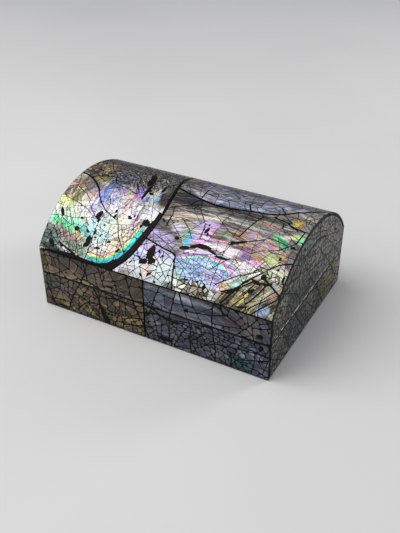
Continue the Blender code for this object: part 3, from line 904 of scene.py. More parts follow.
RIGHT_BACK_PEARL = shell_finish(
    "right pearl back", *RIGHT_HEART, RIGHT_GROUND,
    patches=(
        ((104, 52), (46, 10), -1, SILK, 0.85, 0.2),
        ((74, 57), (13, 6.5), -8, (48, 46, 50), 0.85, 0.3),
        ((110, 58), (30, 3.0), 0, (58, 54, 54), 0.75, 0.4),
        ((90, 45.8), (16, 1.5), 5, (246, 234, 214), 0.85, 0.4),
        ((112, 48.4), (22, 1.0), -3, (222, 216, 206), 0.75, 0.5),
        ((74, 41), (7, 4), 10, (160, 146, 128), 0.7, 0.5),
        ((80, 38.5), (11, 4.6), -8,
         Streaks(24, 6, 0.6, ((70, 64, 62), (150, 138, 128), (206, 192, 178), (246, 236, 222))), 0.8, 0.4),
        ((69.5, 33), (5, 5), -40, (58, 58, 62), 0.9, 0.4),
        ((77.5, 31), (6, 3.5), -30, (84, 76, 80), 0.85, 0.4),
        ((81, 34), (4, 2.8), 0, (198, 190, 216), 0.75, 0.4),
        ((97, 40.0), (8, 4.2), 0, (190, 172, 220), 0.85, 0.4),
        ((103, 43.2), (6, 1.2), 8, (206, 170, 206), 0.65, 0.5),
        ((99, 32.5), (8, 3.4), 0, (244, 204, 246), 0.9, 0.4),
        ((107, 31), (9, 3), -4, (255, 242, 240), 0.9, 0.35),
        ((126, 37), (14, 7.5), 18, DUSTY, 0.92, 0.25),
        ((120, 37), (26, 9), 10, RAINBOW, 0.2, 0.3),
        ((113, 29), (5, 3.2), -10, (232, 214, 224), 0.85, 0.4),
        ((96.5, 30.4), (5, 1.0), 12, (240, 140, 222), 0.8, 0.5),
        ((108, 33.4), (6, 0.8), 6, (240, 150, 206), 0.75, 0.5),
        ((101.8, 38), (2.4, 1.0), 10, (236, 84, 150), 0.85, 0.45),
        ((108.4, 38.2), (4.6, 1.2), 10, (124, 206, 130), 0.8, 0.45),
        ((104.6, 39.8), (2.2, 0.8), 20, (214, 226, 110), 0.8, 0.4),
        ((105.5, 35.7), (5.5, 1.2), 6, (84, 68, 58), 0.9, 0.35),
        ((108.8, 34.9), (2.2, 0.7), 10, (196, 84, 70), 0.8, 0.45),
        ((112.3, 41.6), (4.2, 0.9), 12, (226, 150, 122), 0.8, 0.45),
        ((117.5, 40.2), (4, 2.0), 28, (184, 128, 98), 0.7, 0.5),
        ((120, 33), (7, 1.1), 8, (140, 58, 76), 0.85, 0.45),
        ((118.5, 34.9), (3.2, 0.8), 12, (96, 184, 104), 0.75, 0.4),
        ((124.6, 29.6), (4.4, 2.6), 20, (112, 100, 164), 0.8, 0.5),
        ((119, 29.6), (3, 1.6), 0, (226, 206, 232), 0.8, 0.4),
        ((132.3, 29.2), (3.6, 1.5), -10, (226, 142, 74), 0.8, 0.5),
        ((129, 31.4), (3.2, 1.0), 14, (206, 184, 96), 0.7, 0.5),
        ((138.4, 32), (5.4, 4.8), 35,
         Streaks(52, 5, 0.6, ((66, 124, 44), (150, 190, 104), (222, 214, 158), (110, 90, 58))), 0.85, 0.4),
        ((144.4, 34), (1.4, 3.6), 20, (206, 148, 100), 0.75, 0.45),
        ((148, 36), (2.4, 8), 0, (92, 86, 84), 0.85, 0.3),
        ((138, 44.6), (5.0, 2.2), -22, (120, 242, 160), 0.92, 0.4),
        ((142.2, 41), (1.8, 2.2), -20, (60, 190, 164), 0.88, 0.45),
        ((141.5, 47.8), (3.6, 1.7), 15, (240, 220, 208), 0.88, 0.35),
        ((145.6, 49.2), (2.8, 1.8), -20, (208, 244, 136), 0.9, 0.4),
        ((148.4, 48), (1.4, 3.2), 0, (130, 250, 180), 0.92, 0.3),
        ((128, 52.8), (8, 2.4), -8,
         Streaks(-8, 7, 0.7, ((120, 92, 94), (220, 176, 172), (160, 136, 126))), 0.85, 0.35),
        ((121, 49.8), (13, 1.6), -6, (150, 166, 148), 0.6, 0.5),
        ((131, 59.5), (7, 3), 10, (92, 104, 90), 0.85, 0.35),
        ((127, 61), (4, 1.0), 0, (214, 202, 152), 0.75, 0.4),
        ((147, 60), (2.4, 4.4), 0, (168, 180, 172), 0.75, 0.4),
        ((141.4, 61), (2.7, 3.6), -10, (224, 196, 96), 0.9, 0.35),
        ((144.2, 60), (0.8, 3.0), -10, (226, 140, 78), 0.85, 0.4),
        ((86.8, 33.4), (1.1, 3.0), -48, (70, 206, 180), 0.9, 0.4),
        ((89.2, 30.4), (1.3, 2.4), -16, (50, 200, 196), 0.92, 0.4),
        ((89.0, 27.4), (1.3, 2.2), 30, (52, 190, 220), 0.92, 0.4),
        ((91.2, 30.4), (1.4, 3.0), 0, (150, 170, 240), 0.75, 0.5),
        *ALONG_THE_FIELD,
    ),
    arcs=(SMALL_RAINBOW,), streak=0.6, contrast=0.8, ragged=0.9, play=0.12, hair=0.2, tone_and_shade=1.08)

RIGHT_FRONT_PEARL = shell_finish(
    "right pearl front", *RIGHT_HEART, RIGHT_GROUND,
    patches=(
        *ALONG_THE_FIELD,
        ((105, 14.5), (18, 8.6), -4, FIELD_BITS, 0.96, 0.12),
        ((92.5, 12), (4.6, 6), 0, (172, 214, 238), 0.85, 0.35),
        ((91, 9.6), (2.4, 2.4), 0, (190, 226, 200), 0.7, 0.4),
        ((113.5, 12), (8, 4.6), -14, (214, 192, 248), 0.7, 0.4),
        ((104, 18.6), (8, 2), 0, (186, 222, 250), 0.6, 0.5),
        ((104, 2.6), (18, 5.4), 0, GRAVEL, 0.96, 0.15),
        ((137, 8), (20, 11.5), 22, LEAF, 0.97, 0.1),
        ((119, 10.5), (3.4, 2.2), 35, (226, 204, 140), 0.88, 0.4),
        ((118, 9), (1.0, 1.4), 0, (226, 164, 110), 0.8, 0.45),
        ((121.5, 14.2), (4, 1.2), 35, (232, 232, 206), 0.88, 0.35),
        ((126.5, 13.6), (5.4, 1.2), 38, (176, 246, 214), 0.93, 0.3),
        ((127.2, 6.5), (7, 0.8), 66, (176, 164, 104), 0.7, 0.4),
        ((131.6, 7.8), (4.4, 0.8), 66, (236, 210, 96), 0.92, 0.35),
        ((134.8, 6.6), (2.6, 1.8), 50, (150, 150, 112), 0.8, 0.4),
        ((140.5, 9.5), (7.4, 0.8), 50, (224, 220, 190), 0.8, 0.4),
        ((136.6, 12.0), (5.4, 1.0), 56, (22, 18, 13), 0.85, 0.4),
        ((144.6, 8.0), (6.0, 0.9), 48, (26, 22, 17), 0.8, 0.4),
        ((143.2, 3.2), (4, 2.8), 10, (170, 188, 220), 0.95, 0.3),
        ((146.6, 12), (1.6, 3.4), -15, (176, 138, 120), 0.8, 0.4),
        ((145.5, 17), (2.6, 1.8), -20, (176, 186, 196), 0.8, 0.4),
    ),
    arcs=(SMALL_RAINBOW,), streak=0.6, contrast=0.65, ragged=0.9, play=0.12, hair=0.2)

RIGHT_HOLES = (
    ((97.0, 37.8), (1.0, 2.6), -14), ((98.4, 35.6), (0.6, 1.6), 10), ((96.6, 42.0), (0.7, 0.6), 0),
    ((82.8, 28.4), (1.8, 1.2), 0), ((89.8, 24.2), (3.4, 1.4), 14), ((94.6, 26.2), (3.0, 1.3), 20),
    ((99.6, 27.6), (5.0, 1.5), 2), ((105.4, 26.2), (3.4, 0.9), -16), ((111.6, 24.3), (4.2, 0.9), 0),
    ((107.4, 25.2), (2.4, 0.3), -8), ((117.5, 25.4), (2.6, 0.3), 14), ((114.2, 34.6), (1.6, 1.6), 0),
    ((118.2, 36.3), (4.4, 1.0), 26), ((125.0, 39.6), (3.6, 0.5), 26), ((138.2, 20.6), (1.9, 1.5), -20),
    ((133.0, 23.0), (2.0, 0.5), 40),
    ((124.6, 9.4), (4.6, 0.9), 40), ((129.6, 15.4), (2.6, 0.8), 42), ((135.8, 16.6), (2.4, 1.2), -10),
    ((141.8, 17.4), (2.6, 0.9), 24), ((134.4, 11.8), (2.4, 0.9), 40), ((131.6, 2.2), (3.6, 0.6), 14),
    ((142.6, 32.8), (0.8, 1.2), 0), ((144.0, 26.6), (1.2, 0.7), 30), ((148.6, 22.0), (0.8, 2.4), 0),
    ((146.0, 41.6), (1.4, 0.9), 30), ((70.0, 36.8), (1.6, 0.6), -40), ((104.0, 8.0), (1.0, 0.5), 30),
    ((97.2, 7.4), (1.6, 0.6), 12), ((108.5, 6.4), (1.2, 1.6), 0), ((138.5, 57.0), (3.6, 0.6), -38),
)

# %% [markdown]
# ## The back shell of the dome, and the upright sheets
# A long silver-blue shell lies behind the crown. Its silver streaks are its own growth, their white
# partly painted sheen, and its far slope is painted dark as shade. The front has a brown shell at
# the left of its joint and a slate-blue one at the right. The ends and the back are grey with a
# slanting grain.
# These get little light, so their grounds are painted dark and their lightness is set low, as
# painted shade. The right end has patches of its own, among them a painted highlight along the seam,
# and the left end and the back, which are seldom seen, share one plain finish.

# %% The other finishes
# Silver growth streaks; their white is partly painted sheen.
SILVER_STREAKS_AND_SHEEN = Streaks(2, 10.0, 0.8, ((30, 31, 38), (112, 116, 134), (206, 210, 226), (255, 255, 255)))
OLD_GREEN = Pieces(((132, 136, 92), (104, 120, 110), (164, 152, 98), (120, 104, 96)))
BACK_PEARL = shell_finish(
    "back pearl", (98, 106), (55, 47),
    ((0.25, seen(58, 60, 70)), (0.42, seen(112, 116, 136)), (0.58, seen(180, 184, 204)),
     (0.78, seen(250, 250, 252))),
    patches=(
        ((66, 75), (10, 9), 0, (124, 100, 66), 0.9, 0.4),
        ((84, 72), (12, 5), 0, (110, 104, 104), 0.7, 0.4),
        ((100, 64), (14, 2.4), -4, (170, 176, 244), 0.7, 0.5),
        ((84, 61.5), (7, 2.4), -10, (230, 190, 220), 0.6, 0.5),
        ((104, 69), (40, 8), -2, SILVER_STREAKS_AND_SHEEN, 0.85, 0.4),
        ((82, 65), (13, 1.2), -14, (224, 214, 206), 0.75, 0.5),
        ((106, 63.6), (22, 1.8), 3, (206, 214, 246), 0.75, 0.5),
        ((126, 73), (12, 5), 20, (196, 200, 220), 0.5, 0.5),
        # Painted shade: dark streaks over the back slope of the dome, which turns away from the light.
        ((100, 108), (84, 28), 0,
         Streaks(0, 14, 2.5, ((30, 30, 33), (58, 58, 66), (96, 98, 112))), 0.92, 0.2),
        ((141, 68), (9, 6), 0, OLD_GREEN, 0.85, 0.3),
    ),
    streak=0.9, contrast=0.8, ragged=0.9, play=0.1, tint=0.25, tone_and_shade=0.95)

BROWN_CELLS = Pieces(((112, 100, 80), (142, 128, 96), (90, 82, 66), (126, 110, 84), (104, 98, 74)))
GOLD_CELLS = Pieces(((146, 134, 84), (124, 112, 76), (172, 150, 96), (108, 98, 70)))
# Painted shade, in part: a dark ground and a low lightness scale, for a front that gets little light.
BROWN_SHELL = shell_finish(
    "brown shell", (30, 70), (40, 40),
    ((0.25, seen(78, 72, 60)), (0.45, seen(104, 94, 74)), (0.6, seen(122, 108, 84)),
     (0.8, seen(92, 84, 72))),
    patches=(
        ((36, 20), (60, 30), 0, BROWN_CELLS, 0.7, 0.5),
        ((8, 18), (10, 6), 0, (88, 92, 80), 0.7, 0.5),
        ((17.5, 15), (3.6, 3.2), 0, (150, 128, 150), 0.85, 0.4),
        ((22, 8), (12, 6), 0, GOLD_CELLS, 0.8, 0.4),
        ((32, 7), (5, 4), -20, (152, 142, 88), 0.75, 0.4),
        ((62, 8), (12, 3.2), 18, (182, 158, 96), 0.8, 0.4),
        ((70, 3.5), (4, 3), 0, (154, 144, 84), 0.8, 0.4),
        ((57, 17.5), (4, 3.4), 0, (152, 132, 96), 0.8, 0.4),
        ((36, 36), (40, 4), 0, (96, 88, 84), 0.6, 0.5),
        ((25, 29), (5, 3), 0, (140, 120, 92), 0.8, 0.4),
        ((55, 34), (15, 6), -8,
         Streaks(55, 6, 1.0, ((84, 74, 58), (126, 114, 90), (150, 136, 108))), 0.8, 0.4),
        ((3, 33), (4, 6), 0, (134, 126, 84), 0.7, 0.4),
        # Painted highlight: a pale line along the lid's lower edge, just above the seam.
        ((36, 25.4), (44, 0.8), 1, (168, 154, 132), 0.7, 0.4),
        # Painted shade: a dark band along the foot, where the box stands on the table.
        ((36, -1), (60, 3), 0, (40, 36, 30), 0.7, 0.6),
    ),
    streak=1.6, contrast=0.6, sheen=0.2, tint=0.4, play=0.12, hair=0.4, tone_and_shade=0.72)

BROWN_HOLES = (
    ((43.5, 7.5), (2.0, 4.6), 14), ((45.6, 3.0), (2.2, 3.4), 10), ((41.4, 13.5), (0.8, 2.6), 12),
    ((49.5, 28.3), (3.0, 0.8), 6), ((58.4, 27.7), (1.8, 0.5), -10), ((44.8, 37.0), (1.4, 0.8), 30),
    ((45.8, 33.5), (0.6, 2.6), -8), ((52.0, 20.9), (3.0, 0.5), 4), ((66.4, 20.9), (1.6, 0.6), 10),
    ((5.2, 4.6), (1.6, 0.8), -40), ((18.4, 28.4), (1.2, 0.6), 0), ((13.8, 2.6), (3.2, 0.9), -10),
)

BLUE_CELLS = Pieces(((92, 102, 116), (122, 132, 146), (66, 74, 88), (106, 110, 116), (92, 88, 106)))
# Painted shade, in part: a dark ground and a low lightness scale, for a front that gets little light.
BLUE_SHELL = shell_finish(
    "blue shell", (100, -40), (60, 60),
    ((0.25, seen(50, 55, 66)), (0.45, seen(86, 95, 110)), (0.6, seen(118, 128, 142)),
     (0.8, seen(88, 86, 98))),
    patches=(
        ((110, 12), (44, 15), 0, BLUE_CELLS, 0.75, 0.3),
        ((92, 33.5), (24, 7), 0, (122, 132, 146), 0.7, 0.4),
        ((79, 33.5), (8, 4), 8, (128, 146, 164), 0.75, 0.5),
        ((97, 36.6), (20, 1.6), -1, (186, 192, 200), 0.85, 0.5),
        ((74, 35.8), (4, 1.0), 20, (180, 190, 186), 0.8, 0.4),
        ((108, 33), (14, 2), 8, (84, 96, 124), 0.6, 0.5),
        ((134, 32), (15, 7), 0, (104, 94, 106), 0.75, 0.4),
        ((138, 32), (6, 5), 0, (124, 116, 108), 0.7, 0.5),
        ((134, 6), (7, 4.5), 14, (44, 112, 116), 0.85, 0.4),
        ((139, 13), (7, 2.4), 10, (156, 170, 186), 0.85, 0.4),
        ((136, 18.5), (10, 1.6), 6, (124, 122, 144), 0.7, 0.4),
        ((79, 14), (3.6, 4), 0, (142, 132, 140), 0.7, 0.4),
        ((97, 15.5), (5, 4), 0, (126, 146, 166), 0.7, 0.5),
        ((118, 5), (6, 3), 14, (120, 110, 120), 0.7, 0.4),
        # Painted highlight: a pale line along the lid's lower edge, just above the seam.
        ((110, 25.5), (26, 0.8), 0, (168, 170, 172), 0.75, 0.4),
        # Painted shade: a dark band along the foot, where the box stands on the table.
        ((112, -1), (60, 3), 0, (30, 32, 36), 0.7, 0.6),
    ),
    streak=1.2, contrast=0.6, sheen=0.25, tint=0.38, play=0.12, hair=0.4, tone_and_shade=0.7)

BLUE_HOLES = (
    ((74.4, 18.0), (1.8, 1.4), 20), ((107.0, 20.4), (2.4, 1.0), -12), ((86.0, 4.4), (4.6, 1.6), 0),
    ((99.6, 29.4), (1.6, 1.4), 0), ((143.8, 28.0), (2.2, 1.6), 0), ((145.0, 20.4), (1.4, 2.4), -20),
    ((123.4, 13.4), (2.0, 0.5), 4), ((127.4, 10.4), (1.2, 0.7), -10), ((94.0, 19.0), (2.0, 0.5), 4),
    ((122.6, 34.6), (1.4, 0.9), 20), ((84.0, 20.4), (3.0, 0.4), -22), ((146.8, 12.8), (0.9, 0.5), 20),
)


# Painted shade, in part: the ends and the back get dark grounds and a low lightness scale, as they get
# little light.
END_GROUND = ((0.25, seen(30, 31, 34)), (0.45, seen(88, 90, 84)), (0.6, seen(132, 134, 122)),
              (0.8, seen(84, 86, 94)))
SLANTED = Streaks(-48, 4.5, 1.1, ((10, 10, 14), (62, 65, 62), (128, 130, 118), (232, 232, 212)))
END_CELLS = Pieces(((96, 100, 92), (60, 64, 66), (136, 138, 122), (78, 80, 92), (150, 150, 134)))


def end_shell(name, heart, marks_and_highlight=()):
    """Grey shell with a slanting grain, and whatever patches a side has of its own, painted highlights among
    them.
    """
    return shell_finish(
        name, heart, (60, 60), END_GROUND,
        patches=(((55, 30), (90, 70), 0, END_CELLS, 0.6, 0.1),
                 ((55, 30), (90, 70), 0, SLANTED, 0.55, 0.1), *marks_and_highlight),
        streak=1.3, contrast=0.7, sheen=0.2, ragged=1.6, tint=0.45, play=0.1, hair=0.4, tone_and_shade=0.62)


RIGHT_END_MARKS_AND_HIGHLIGHT = (
    ((40, 33), (26, 5), -14, (34, 38, 60), 0.75, 0.5),
    ((34, 19), (20, 8), -30, (46, 52, 70), 0.6, 0.5),
    ((12, 40), (8, 5), 30, (170, 176, 152), 0.6, 0.5),
    ((84, 14), (8, 5), -34, (172, 160, 84), 0.7, 0.5),
    ((97, 14), (12, 9), -34, (160, 140, 84), 0.75, 0.5),
    ((88, 50), (24, 7), -34, (150, 142, 122), 0.6, 0.5),
    ((76, 62), (14, 4), -20, (150, 120, 96), 0.7, 0.5),
    ((50, 64), (20, 4), 0, (96, 110, 96), 0.6, 0.5),
    # Painted highlight: a bright line along the lid's lower edge, just above the seam.
    ((44, 25.4), (42, 0.8), 1.0, (255, 255, 246), 1.0, 0.2),
)


END_HOLES = (
    ((8, 47.4), (7.0, 1.1), 8), ((24, 53), (5.0, 0.9), 32), ((54, 56.6), (10.0, 0.7), 0),
    ((68, 54.4), (5.0, 0.7), -20), ((63, 61.5), (0.7, 4.6), 3), ((11, 40), (2.2, 0.9), -20),
    ((24, 35), (2.0, 0.9), -50), ((54, 34.6), (2.6, 0.8), -20), ((66, 31.4), (2.4, 0.7), -40),
    ((40, 62), (2.2, 0.8), -30), ((91, 48.5), (2.6, 0.9), -38), ((80, 57), (2.0, 0.7), -35),
    ((93, 20), (2.2, 0.6), -60), ((36, 49), (2.4, 0.5), -10),
)
RIGHT_END_SHELL = end_shell("grey right end shell", (-60, 120), RIGHT_END_MARKS_AND_HIGHLIGHT)
PLAIN_SHELL = end_shell("grey plain shell", (75, 160))
print("finishes:", [m.name for m in bpy.data.materials])


# %% [markdown]
# ## Cracking the dome
# The whole dome is crazed at once, so that no crack piles up at a joint. How small the pieces are,
# and how wide the finest cracks, changes from place to place: the silky bands hardly cracked, and
# the gravel is crushed fine. The joint ribbons and the long cracks are then cut in, and each piece
# goes to the shell it lies in. The right shell is laid as two sheets of tiles, because one finish
# with all its patches would be too long for the renderer.

# %% The dome's pieces
def by_place(usual, places):
    """A rule for a size: the first oval (u, v, half u, half v, size) that holds a point decides."""
    def size_at(x, y):
        for u, v, half_u, half_v, size in places:
            if ((x - u) / half_u) ** 2 + ((y - v) / half_v) ** 2 < 1:
                return size
        return usual
    return size_at


DOME_PIECE_SIZE = by_place(4.4, (
    (104, 2, 18, 6, 2.9), (140, 22.5, 12, 4, 2.8), (104, 14, 18, 9, 2.9), (137, 8, 16, 11, 11.0),
    (106, 50, 46, 9, 13.0), (110, 34, 34, 10, 8.0), (78, 29, 12, 6, 6.0), (74, 11, 19, 13, 4.0),
    (54, 24, 5, 11, 2.2), (9, 7, 14, 8, 2.8), (22, 6, 9, 5, 2.4), (40, 14, 9, 8, 2.8), (38, 34, 26, 14, 5.0),
    (143, 61, 9, 8, 3.6), (28, 76, 40, 20, 3.0), (106, 74, 52, 15, 7.0), (75, 112, 90, 34, 6.5)))
DOME_CRACK_WIDTH = by_place(0.14, (
    (104, 2, 18, 6, 0.34), (140, 22.5, 12, 4, 0.34), (104, 14, 18, 9, 0.13), (137, 8, 16, 11, 0.25),
    (110, 40, 46, 18, 0.16), (74, 11, 19, 13, 0.28), (12, 7, 18, 9, 0.26), (28, 78, 44, 24, 0.32),
    (106, 74, 52, 15, 0.34), (75, 112, 90, 34, 0.34)))
LONG_DOME_CRACKS = (
    (((-3, 58.5), (5, 56.2), (9, 54.6), (13, 52), (17, 49), (20, 46)), 1.15),
    (((20, 46), (23, 42), (26, 38.5), (30, 35), (34, 32.5)), 0.7),
    (((34, 32.5), (39, 30.2), (43, 28.6), (45, 26), (48, 20.5), (52, 15.5), (57.5, 9.5)), 0.5),
    (((9, 55), (12, 57.6), (20, 60.4), (26, 61)), 0.9),
    (((22, 63), (25, 57), (28, 54.6), (34, 53.6), (40, 51.6), (44.5, 50.4)), 0.6),
    (((37, 61), (40.5, 57), (45, 51.5)), 0.6),
    (((33.4, 32), (32.4, 25), (32.5, 18), (33.3, 10), (32.4, 1.5)), 0.42),
    (((36, 15.5), (38.5, 9), (40.8, 1.5)), 0.36),
    (((53.6, 44), (53.4, 37), (53.8, 30)), 0.42),
    (((5, 45), (12, 41.6), (17, 38.8), (20.5, 34.6), (25, 30.2), (29, 27)), 0.36),
    (((1, 36.5), (6, 34.6), (13, 33.2), (21, 30.6), (27, 27)), 0.3),
    (((8, 29.5), (11, 26), (15.5, 20), (17, 18)), 0.3),
    (((6, 23), (9, 21), (14.8, 18.8)), 0.36),
    (((24, 24), (28, 19.5)), 0.4),
    (((29, 44), (33, 38), (35, 35)), 0.3),
    (((12, 7), (19, 4.4), (26, 2.2)), 1.0),
    (((4, 16), (8, 12), (11, 8.5)), 0.45),
    (((82.5, 56), (86, 51.5), (90, 46.5), (92.5, 42), (95, 37), (95.6, 30)), 0.45),
    (((122, 60), (119.5, 53), (117.5, 46), (115.5, 41), (113.6, 37), (114.4, 34.5)), 0.75),
    (((114, 34), (118, 36.2), (124, 39), (133, 43.6)), 0.55),
    (((113.8, 34), (112.6, 30), (110, 26.5)), 0.36),
    (((68, 46.5), (76, 51.2), (84, 54.8)), 0.7),
    (((83.5, 55), (82, 50), (81.7, 46.5)), 0.6),
    (((69, 46), (72.4, 43.8), (73, 38), (73, 33)), 0.55),
    (((79, 41), (84, 38), (89, 33), (90, 29)), 0.36),
    (((66.5, 28), (74, 25.4), (80, 23), (86.5, 20)), 0.3),
    (((103, 48.5), (104, 54), (102, 61)), 0.4),
    (((134, 58), (136, 51), (137, 46.5)), 0.7),
    (((119, 32.6), (126, 31.8), (131, 34.4), (135, 36), (141, 38.4)), 0.34),
    (((117.5, 26), (113, 21.5), (108, 16)), 0.36),
    (((139, 25), (144, 29.5), (151, 32.5)), 0.8),
    (((116, 11), (120, 14), (124, 17), (128, 19), (135, 23)), 0.5),
    (((120, 7.6), (126, 11), (129, 15), (132, 18)), 0.9),
    (((132, 18), (137, 17), (142, 17.6), (147, 15), (151, 11)), 1.0),
    (((121, 2), (125, 8), (129.4, 13), (134, 17)), 0.8),
    (((126, 0.6), (129.4, 5), (132, 10), (135.6, 16.6)), 0.5),
    (((130.5, 0.6), (135, 6), (138.4, 11), (141, 17)), 0.8),
    (((135, 1.6), (139.5, 6), (143, 10.5), (147, 15)), 0.45),
    (((138, 0.2), (143, 5.2), (147, 9), (151, 13)), 0.7),
    (((129.8, 3.4), (133.6, 8.6), (136.8, 14)), 0.3),
    (((143, 41), (146.5, 45), (147.4, 51)), 0.7),
    (((143, 40.5), (139, 43.0), (134, 43.6)), 0.5),
    (((126, 61), (134, 59.5), (141, 56.2), (151, 54)), 1.0),
    (((80, 71), (81, 60), (79, 55)), 0.8),
    (((107, 73), (110, 66), (113, 61)), 0.9),
    (((126, 74), (129, 70), (132, 66.5)), 0.8),
    (((96, 76), (104, 71), (118, 70.5)), 0.6),
)
CORNER_BITE = 0.3
dice = random.Random(11)
pieces = craze(block(-4, -4, LENGTH + 4, ARC + 4), DOME_PIECE_SIZE, dice, 0.3, DOME_CRACK_WIDTH)
pieces = [shrink_to_cracks(p) for p in pieces]
pieces = [crooked(blunted(p, CORNER_BITE), 3.0) for p in pieces if len(p) > 2]
for points, width in LONG_DOME_CRACKS:
    pieces = cut_by(pieces, smooth(points), even(width))


def ribbon(x, y):
    """The resin ribbon along the left shell: widest beside the rim at the front."""
    return 0.5, 3.6 - 2.2 * min(1, max(0, (y - 30) / 22)) + 1.6 * max(0, 1 - y / 6)


pieces = cut_by(pieces, LEFT_SHELL_EDGE, ribbon)


def right_of_left_edge(x, y):
    return left_of(LEFT_SHELL_EDGE, x, y)


# %% [markdown]
# Under the left shell's rim the resin also fills a strip along the front crease. The other two
# joints are narrow, and each only cuts the pieces on its own side of the ribbon.

# %% The other joints, and whose piece is whose
CREASE_RESIN = smooth(((4, 0.4), (12, 1.5), (22, 2.2), (32, 1.6), (42, 1.4), (48, 3.4), (53, 7)))


def left_rim(x, y):
    """How far a place lies from the left shell's rim, along the ribbon or the crease."""
    return min(nearest_on(LEFT_SHELL_EDGE, x, y)[0] - ribbon(x, y)[1], nearest_on(CREASE_RESIN, x, y)[0])


def in_left_shell(x, y):
    return not right_of_left_edge(x, y)


def in_front_part(x, y):
    return right_of_left_edge(x, y) and not left_of(BACK_SHELL_EDGE, x, y)


pieces = cut_by(pieces, CREASE_RESIN, lambda x, y: (0.1, 6.0), in_left_shell)
pieces = cut_by(pieces, BACK_SHELL_EDGE, even(1.5), right_of_left_edge)
pieces = cut_by(pieces, MIDDLE_SHELL_EDGE, even(0.8), in_front_part)
RIM = 0.2
dome_shells = {"left": [], "middle": [], "right": [], "back": []}
for piece in pieces:
    for at, inward in (((RIM, 0), (1, 0)), ((LENGTH - RIM, 0), (-1, 0)),
                       ((0, RIM), (0, 1)), ((0, ARC - RIM), (0, -1))):
        piece = trim(piece, at, inward) if piece else piece
    if len(piece) < 3:
        continue
    x, y = area_of(piece)[1]
    if in_left_shell(x, y):
        dome_shells["left"].append(piece)
    elif left_of(BACK_SHELL_EDGE, x, y):
        dome_shells["back"].append(piece)
    elif not left_of(MIDDLE_SHELL_EDGE, x, y):
        dome_shells["middle"].append(piece)
    else:
        dome_shells["right"].append(piece)
print("dome pieces:", {word: len(found) for word, found in dome_shells.items()})

# %% Laying the dome
FIELD_EDGE = 24.5
for piece in dome_shells.pop("right"):
    word = "right_front" if area_of(piece)[1][1] < FIELD_EDGE else "right_back"
    dome_shells.setdefault(word, []).append(piece)
DOME = {
    "left": (LEFT_PEARL, LEFT_HOLES, left_rim),
    "middle": (MIDDLE_PEARL, MIDDLE_HOLES, None),
    "right_front": (RIGHT_FRONT_PEARL, RIGHT_HOLES, None),
    "right_back": (RIGHT_BACK_PEARL, RIGHT_HOLES, None),
    "back": (BACK_PEARL, (), None),
}
for number, (word, (finish, holes, rim)) in enumerate(DOME.items()):
    tiles = lay_tiles(f"lid_top_{word}_tiles", dome_shells[word], on_dome, (finish, RESIN), number,
                      holes, True, rim)
    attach(tiles, "root")

# %% [markdown]
# ## Cracking the upright faces
# The shell was laid over the closed box and sawn through at the seam, so the cracks run on from
# the base to the lid. Each face is therefore crazed whole, and each sheet then keeps its share.

# %% The front, back and end pieces
FACE_BITE = 0.8
OLDEST_FACE_CRACK = 0.8
FINEST_FACE_CRACK = 0.32
PAST_EDGE = 4  # the sheets are crazed a little larger than the faces


def face_pieces(length, height, size_at, seed, cracks=()):
    """All the pieces of one upright face, crazed from base to lid."""
    dice = random.Random(seed)
    whole = block(-PAST_EDGE, -PAST_EDGE, length + PAST_EDGE, height + PAST_EDGE)
    found = craze(whole, size_at, dice, OLDEST_FACE_CRACK, by_place(FINEST_FACE_CRACK, ()))
    found = [shrink_to_cracks(p) for p in found]
    found = [crooked(blunted(p, FACE_BITE), 20.0 + seed) for p in found if len(p) > 2]
    for points, width in cracks:
        found = cut_by(found, smooth(points), even(width))
    return found


def share_of(found, outline):
    """What lies within a convex outline, a little inside its edges."""
    kept = []
    for piece in found:
        for i, (x, y, _) in enumerate(outline):
            nx, ny, _ = outline[(i + 1) % len(outline)]
            size = math.hypot(nx - x, ny - y)
            inward = (-(ny - y) / size, (nx - x) / size)
            piece = trim(piece, (x + RIM * inward[0], y + RIM * inward[1]), inward)
            if len(piece) < 3:
                break
        if len(piece) > 2:
            kept.append(piece)
    return kept


SHELL_THICKNESS = 1.2
SEAM_RESIN = 0.45
BROWN_END = LENGTH / 2 + 1000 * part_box("base_front_brown_shell")[1][0]
BLUE_START = LENGTH / 2 + 1000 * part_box("base_front_blue_shell")[0][0]
RIDGE_EDGE = 1000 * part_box("lid_front_blue_shell")[1][2]


def arch_outline(bottom):
    """The flat outline of a lid end sheet, from the given height up to the dome sheets."""
    half = 1000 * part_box("lid_right_shell")[1][1]
    radius = DOME_RADIUS - SHELL_THICKNESS - 0.4
    turn = math.asin(half / radius)
    steps = 24
    curve = [turn * (1 - 2 * k / steps) for k in range(steps + 1)]
    top = [(DEPTH / 2 + radius * math.sin(a), DOME_CENTRE + radius * math.cos(a), 0.0) for a in curve]
    return [(DEPTH / 2 - half, bottom, 0.0), (DEPTH / 2 + half, bottom, 0.0), *top]


